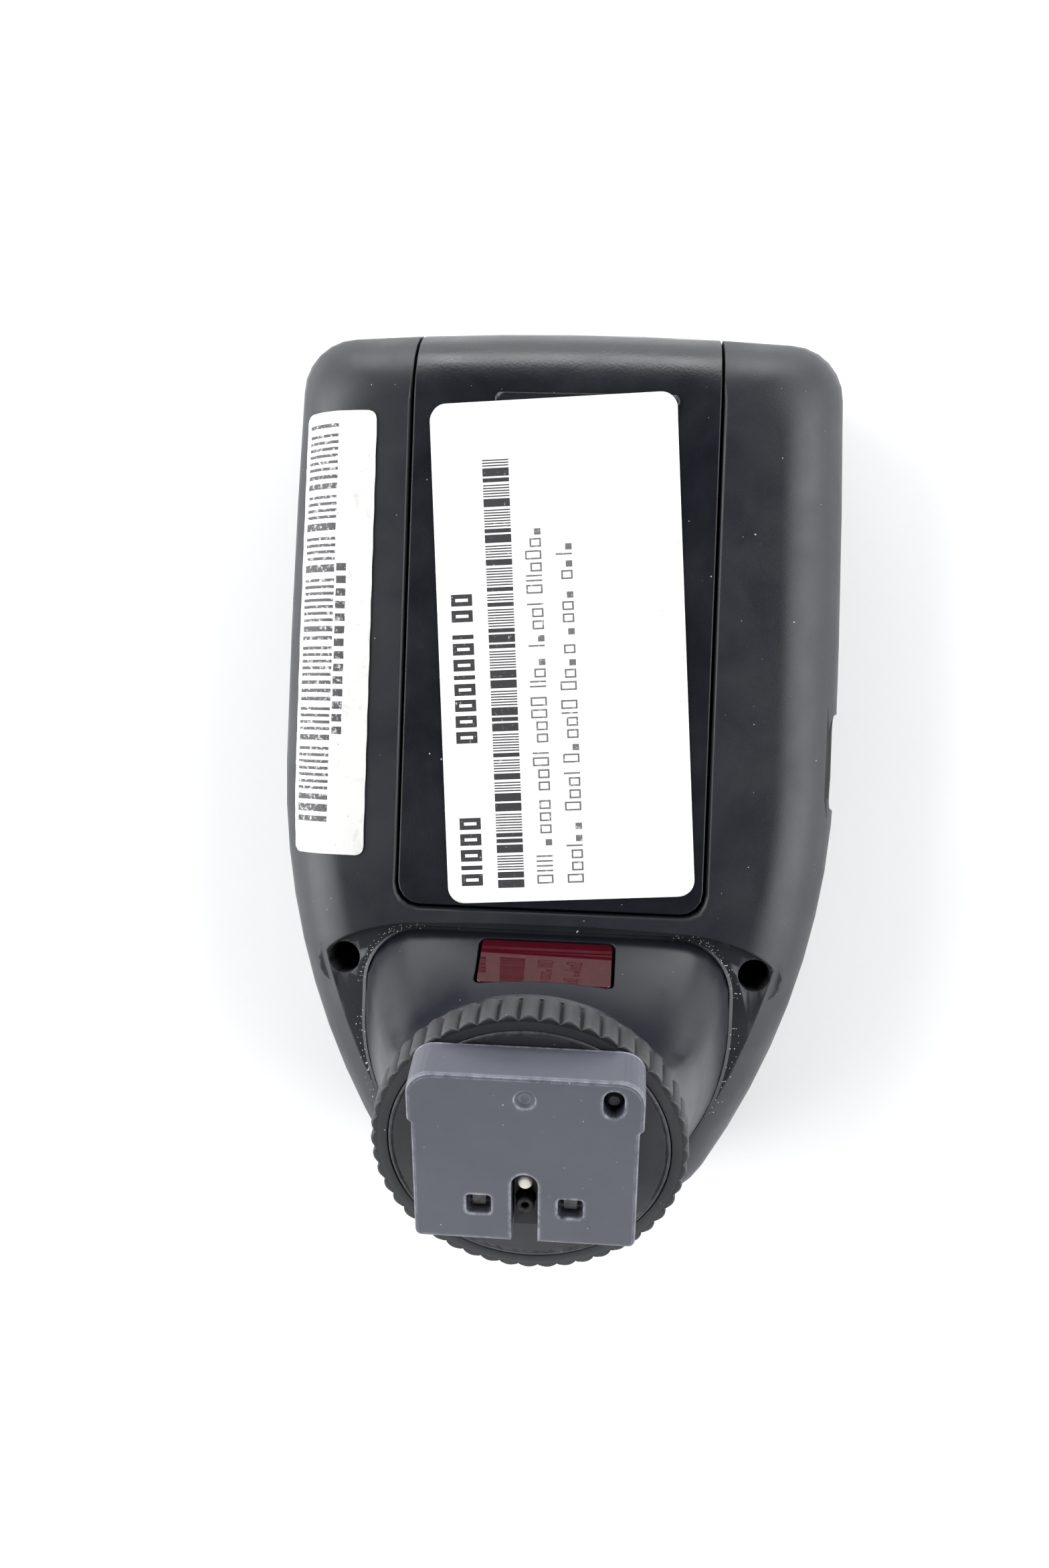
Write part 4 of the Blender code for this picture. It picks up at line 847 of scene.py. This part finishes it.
def make_hub():
    """The fixed disc inside the ring, with a fine raised line round its edge."""
    profile = (
        (12.0, -3.0), (HUB_RADIUS, -2.9), (HUB_RADIUS, -0.12), (12.04, -0.02), (11.9, 0.03),
        (11.76, -0.02), (11.7, -0.12), (0.3, -0.12),
    )
    mesh = bmesh.new()
    rows = strip(
        mesh, [[(x, y, z) for x, y in arc(0, 0, radius, 0, 360, HUB_STEPS)[:-1]] for radius, z in profile]
    )
    mesh.faces.new(rows[0][::-1])
    mesh.faces.new(rows[-1])
    hub = new_object("hub_disc", mesh, place=shoe)
    dress(hub, hub_look, "housing", 40)
    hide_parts("ring_hub")


def rounded(width, height, radius, steps=8):
    points = []
    for quarter, (side, end) in enumerate([(1, 1), (-1, 1), (-1, -1), (1, -1)]):
        points += arc(
            side * (width / 2 - radius),
            end * (height / 2 - radius),
            radius,
            90 * quarter,
            90 * quarter + 90,
            steps,
        )
    return points


def make_window():
    """The red plate: flat and polished, lying back a little in its opening."""
    width, height = WINDOW_SIZE
    wall = Matrix.Translation(WINDOW_PLACE) @ Matrix.Rotation(radians(-WINDOW_SLOPE), 4, "X")
    hinge = Matrix.Translation((0, height / 2, -0.02))
    lean = Matrix.Rotation(radians(WINDOW_LEAN), 4, "X")
    matrix = wall @ hinge @ lean @ Matrix.Translation((0, -height / 2, 0))
    levels = ((0.0, -WINDOW_THICK), (0.0, -0.08), (0.05, 0.0))
    mesh = bmesh.new()
    rows = strip(
        mesh,
        [
            [matrix @ Vector((x, y, z)) for x, y in rounded(width - 2 * trim, height - 2 * trim, 0.5)]
            for trim, z in levels
        ],
    )
    mesh.faces.new(rows[0][::-1])
    mesh.faces.new(rows[-1])
    plate = new_object("red_plate", mesh)
    dress(plate, red_look, "housing", 30)
    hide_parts("assist_window")


def thin_box(mesh, low, high, matrix):
    """A closed flat box between two corners."""
    corners = [
        (x, y, z)
        for z in (low[2], high[2])
        for x, y in ((low[0], low[1]), (high[0], low[1]), (high[0], high[1]), (low[0], high[1]))
    ]
    verts = [mesh.verts.new(matrix @ Vector(corner)) for corner in corners]
    for face in ((3, 2, 1, 0), (4, 5, 6, 7), (0, 1, 5, 4), (1, 2, 6, 5), (2, 3, 7, 6), (3, 0, 4, 7)):
        mesh.faces.new([verts[index] for index in face])


def bar_pattern(rng, start, end, broad, hair):
    """A few broad bars, then a group of hair lines, and so on from start to end."""
    bars = []
    place = start
    while place < end:
        for _ in range(rng.randint(1, 3)):
            width = broad * rng.choice((0.5, 0.75, 1.0))
            bars.append((place, place + width))
            place += width + hair * 1.5
        for _ in range(rng.randint(3, 7)):
            bars.append((place, place + hair))
            place += hair * 2.2
        place += hair
    return [(low, high) for low, high in bars if high < end]


def block_line(mark, rng, start, end, foot, tall, pen, kinds):
    """A line of generic block figures in place of words: open boxes, strokes and small solid blocks."""
    place = start
    while place < end - tall:
        for _ in range(rng.randint(4, 8)):
            kind = rng.choice(kinds)
            wide = pen if kind == "stroke" else tall * 0.55
            head = foot - tall * (1.0 if kind in ("box", "stroke") else 0.7)
            if place + wide > end:
                return
            if kind == "block":
                mark(foot - tall * 0.4, foot, place, place + wide * 0.7)
            else:
                mark(head, foot, place, place + pen)
            if "box" in kind:
                mark(head, foot, place + wide - pen, place + wide)
                mark(head, head + pen, place + pen, place + wide - pen)
                mark(foot - pen, foot, place + pen, place + wide - pen)
            place += wide + tall * 0.2
        place += tall * 0.4


def make_asset_label():
    """A white label on the door, with generic bars and blocks for its printing."""
    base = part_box("asset_label")[0].z / MM
    turn = Matrix.Translation((*LABEL_CENTRE, 0)) @ Matrix.Rotation(radians(LABEL_TURN), 4, "Z")
    width, length = LABEL_SIZE
    half_width, half_length = width / 2, length / 2
    ends = [
        LABEL_CORNER * (1 - cos(radians(90 * step / LABEL_CORNER_STEPS)))
        for step in range(LABEL_CORNER_STEPS + 1)
    ]
    rows_v = [-half_length + end for end in ends]
    rows_v += [
        -half_length + LABEL_CORNER + (length - 2 * LABEL_CORNER) * step / LABEL_ROWS
        for step in range(1, LABEL_ROWS)
    ]
    rows_v += [half_length - end for end in reversed(ends)]
    mesh = bmesh.new()
    grid = []
    for v in rows_v:
        inside = max(abs(v) - (half_length - LABEL_CORNER), 0)
        reach = half_width - LABEL_CORNER + sqrt(max(LABEL_CORNER**2 - inside**2, 0))
        row = []
        for column in range(LABEL_COLUMNS + 1):
            point = turn @ Vector((reach * (column / (LABEL_COLUMNS // 2) - 1), v, base))
            share = min(max((point.y - BUMP_START) / BUMP_LENGTH, 0), 1)
            point.z += BUMP_HEIGHT * share * share * (3 - 2 * share)
            row.append(mesh.verts.new(point))
        grid.append(row)
    for lower, upper in zip(grid, grid[1:]):
        for column in range(LABEL_COLUMNS):
            mesh.faces.new((lower[column], lower[column + 1], upper[column + 1], upper[column]))
    bmesh.ops.remove_doubles(mesh, verts=mesh.verts, dist=1e-4)
    label = new_object("door_label", mesh)
    dress(label, label_look, "battery_door", 40)
    thick = label.modifiers.new("thickness", "SOLIDIFY")
    thick.thickness = LABEL_THICK * MM
    thick.offset = 1
    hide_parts("asset_label")

    rng = random.Random(LABEL_SEED)
    print_base = turn @ Matrix.Translation((-half_width, -half_length, base + LABEL_THICK))

    def printing(name, shade, draw):
        mesh = bmesh.new()

        def mark(u0, u1, v0, v1):
            thin_box(mesh, (u0, v0, -0.004), (u1, v1, INK_THICK), print_base)

        draw(mark)
        dress(new_object(name, mesh), shade, "battery_door")

    def draw_bold(mark):
        for v0, v1 in bar_pattern(rng, 1.4, 43.6, 0.8, 0.12):
            mark(5.0, 7.6, v0, v1)
        for start, end in ((1.7, 9.8), (15.8, 31.4)):
            block_line(
                mark, rng, start, end, BOLD_FOOT, BOLD_TALL, BOLD_PEN, ("box", "box", "box", "stroke")
            )

    def draw_fine(mark):
        for foot, end in ((10.5, 37.3), (13.5, 35.9)):
            kinds = ("box", "low box", "low box", "stroke", "block")
            block_line(mark, rng, FINE_START, end, foot, FINE_TALL, FINE_PEN, kinds)

    printing("door_label_print", ink_look, draw_bold)
    printing("door_label_small_print", small_ink_look, draw_fine)


def housing_surface():
    """Finds the casing's surface under a point seen from above."""
    data = bpy.data.objects["rear_housing_skin"].data
    tree = BVHTree.FromPolygons([v.co for v in data.vertices], [tuple(p.vertices) for p in data.polygons])

    def height(x, y):
        hit, normal, _, _ = tree.ray_cast(Vector((x, y, 100)) * MM, Vector((0, 0, -1)))
        return hit / MM, normal

    return height


def make_serial_label():
    """A worn label draped over the casing's shoulder, with generic bars and blocks."""
    height = housing_surface()
    rng = random.Random(SERIAL_SEED)
    low_y, high_y = SERIAL_ENDS
    bars = bar_pattern(rng, low_y + 3.2, high_y - 1.0, 0.75, 0.3)
    blocks = []
    place = low_y + 12.0
    while place < low_y + 29.0:
        blocks.append((place, place + BLOCK_WIDTH))
        place += BLOCK_PITCH
    edges = {low_y, high_y}
    for low, high in bars + blocks:
        edges |= {low, high}
    edges |= {low_y + 0.6 * step for step in range(1, int((high_y - low_y) / 0.6))}
    edges |= {low_y + 0.1 * step for step in range(1, 9)}
    edges |= {high_y - 0.1 * step for step in range(1, 9)}
    ys = sorted(edges)
    ys = [ys[0]] + [b for a, b in zip(ys, ys[1:]) if b - a > 0.02]
    columns = [
        0.0, 0.1, 0.25, 0.4, 0.6, 0.8, 1.0, 1.5, 2.1, 2.6, 2.9, 3.6, 3.8, 4.3, 5.0, 5.8, 6.6, 7.3, 7.5,
        7.7, 7.9, 8.05, 8.2, SERIAL_WIDTH,
    ]

    mesh = bmesh.new()
    grid = []
    for y in ys:
        end_gap = min(y - low_y, high_y - y)
        trim = 0.0
        if end_gap < SERIAL_CORNER:
            trim = SERIAL_CORNER - sqrt(SERIAL_CORNER**2 - (SERIAL_CORNER - end_gap) ** 2)
        x, walked = SERIAL_EDGE_X - 0.02 * sin(y * 1.7), 0.0
        here, normal = height(x, y)
        points = []
        for column in columns:
            target = min(max(column, trim), SERIAL_WIDTH - trim)
            while walked < target:
                there, normal = height(here.x - SERIAL_WALK, y)
                walked += hypot(there.x - here.x, there.z - here.z)
                here = there
            points.append((here + normal * SERIAL_LIFT).copy())
        grid.append([mesh.verts.new(point) for point in points])
    inked = []
    for row, (lower, upper) in enumerate(zip(grid, grid[1:])):
        middle = (ys[row] + ys[row + 1]) / 2
        on_bar = any(low < middle < high for low, high in bars)
        on_block = any(low < middle < high for low, high in blocks)
        for column in range(len(columns) - 1):
            across = (columns[column] + columns[column + 1]) / 2
            mesh.faces.new((lower[column + 1], lower[column], upper[column], upper[column + 1]))
            inked.append((on_bar and 3.8 < across < 7.8) or (on_block and 2.6 < across < 3.6))
    label = new_object("shoulder_label", mesh)
    dress(label, serial_look, "housing", 60)
    label.data.materials.append(serial_ink_look.material)
    for face, dark in zip(label.data.polygons, inked):
        face.material_index = int(dark)
    thick = label.modifiers.new("thickness", "SOLIDIFY")
    thick.thickness = LABEL_THICK * MM
    thick.offset = 1
    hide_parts("serial_label")


def make_skirt():
    """The small dusty fillet between the neck and the ledge."""
    rings = [[(x, y, z) for x, y in neck_outline(grow)] for grow, z in SKIRT]
    mesh = bmesh.new()
    rows = strip(mesh, rings + rings[:1])
    bmesh.ops.remove_doubles(mesh, verts=rows[0] + rows[-1], dist=1e-4)
    bmesh.ops.recalc_face_normals(mesh, faces=mesh.faces)
    skirt = new_object("neck_skirt", mesh)
    dress(skirt, skirt_look, "housing", 80)


def make_dust():
    """Pale grains caught in the groove round the neck."""
    rng = random.Random(DUST_SEED)
    mesh = bmesh.new()

    def grain(x, y, radius):
        spin = Matrix.Rotation(rng.uniform(0, pi), 4, "Z") @ Matrix.Diagonal(
            (1, rng.uniform(0.4, 1.0), 0.6, 1)
        )
        bmesh.ops.create_icosphere(
            mesh, subdivisions=1, radius=radius, matrix=Matrix.Translation((x, y, LEDGE_Z + 0.03)) @ spin
        )

    for _ in range(DUST_GRAINS):
        outline = neck_outline(0.1 + 0.75 * rng.random() ** 1.6)
        place = rng.choice([point for point in outline if point[1] > DUST_BACK_Y])
        if abs(place[0]) < 12:
            place = (rng.uniform(-12.5, 12.5), place[1])
        grain(
            place[0] + rng.uniform(-0.3, 0.3), place[1] + rng.uniform(-0.06, 0.06), rng.uniform(0.025, 0.07)
        )
    grain(2.9, -16.1, 0.17)
    dust = new_object("neck_dust", mesh)
    dress(dust, grain_look, "housing", 60)


make_casing()
REPLACED = (
    "rear_housing", "battery_door", "port_bezel", "shoe_neck", "locking_ring", "ring_hub", "assist_window"
)
LABELS = ("asset_label", "serial_label")
for node in sorted(nodes):
    if node not in REPLACED + LABELS:
        smooth_copy(node)
make_ring()
make_hub()
make_window()
make_asset_label()
make_serial_label()
make_skirt()
make_dust()


# ---------------------------------------------------------------- stage, light and camera


def make_floor():
    mesh = bmesh.new()
    bmesh.ops.create_grid(mesh, x_segments=1, y_segments=1, size=FLOOR_REACH)
    bmesh.ops.translate(mesh, verts=mesh.verts, vec=(0, 0, FLOOR_Z))
    floor = new_object("floor", mesh)
    shade = Shade("paper_floor", (0.86, 0.86, 0.865), 0.7)
    shade.set("Base Color", shade.blend(shade.noise(0.02, 3.0), (0.85, 0.85, 0.855), (0.88, 0.88, 0.885)))
    floor.data.materials.append(shade.material)


def area_light(name, place, target, size, power):
    data = bpy.data.lights.new(name, "AREA")
    data.shape = "RECTANGLE"
    data.size, data.size_y = size[0] * MM, size[1] * MM
    data.energy = power
    light = bpy.data.objects.new(name, data)
    bpy.context.scene.collection.objects.link(light)
    light.location = Vector(place) * MM
    light.rotation_euler = (Vector(target) - Vector(place)).to_track_quat("-Z", "Y").to_euler()


def make_light():
    """Big soft lights and low strips on both sides, low lights at the ends; straight above it stays dark."""
    world = bpy.data.worlds.new("studio")
    world.use_nodes = True
    tree = world.node_tree
    background = tree.nodes["Background"]
    background.inputs["Color"].default_value = (0.93, 0.96, 1.0, 1.0)
    direction = tree.nodes.new("ShaderNodeTexCoord").outputs["Generated"]
    split = tree.nodes.new("ShaderNodeSeparateXYZ")
    tree.links.new(direction, split.inputs[0])
    height = tree.nodes.new("ShaderNodeMapRange")
    for name, number in (("From Min", 0.3), ("From Max", 0.8), ("To Min", 0.8), ("To Max", 0.02)):
        height.inputs[name].default_value = number
    tree.links.new(split.outputs["Z"], height.inputs["Value"])
    tree.links.new(height.outputs["Result"], background.inputs["Strength"])
    bpy.context.scene.world = world
    area_light("left_softbox", (-340, 30, 225), (0, 0, 20), (560, 360), 2.6)
    area_light("right_softbox", (340, 30, 225), (0, 0, 20), (560, 360), 2.4)
    area_light("left_strip", (-400, -20, 50), (0, -20, 25), (420, 70), 0.45)
    area_light("right_strip", (400, -20, 50), (0, -20, 25), (420, 70), 0.2)
    area_light("end_softbox", (0, 430, 105), (0, 0, 20), (600, 140), 1.5)
    area_light("near_softbox", (0, -430, 160), (0, 0, 20), (600, 180), 0.45)


def make_camera():
    data = bpy.data.cameras.new("camera")
    data.lens = CAMERA_LENS
    data.sensor_width = SENSOR_LONG_SIDE
    data.clip_start = 0.01
    data.clip_end = 10.0
    camera = bpy.data.objects.new("camera", data)
    bpy.context.scene.collection.objects.link(camera)
    camera.location = Vector(CAMERA_PLACE) * MM
    camera.rotation_euler = [radians(turn) for turn in CAMERA_TURN]
    bpy.context.scene.camera = camera


make_floor()
make_light()
make_camera()
bpy.context.scene.view_settings.view_transform = "Standard"
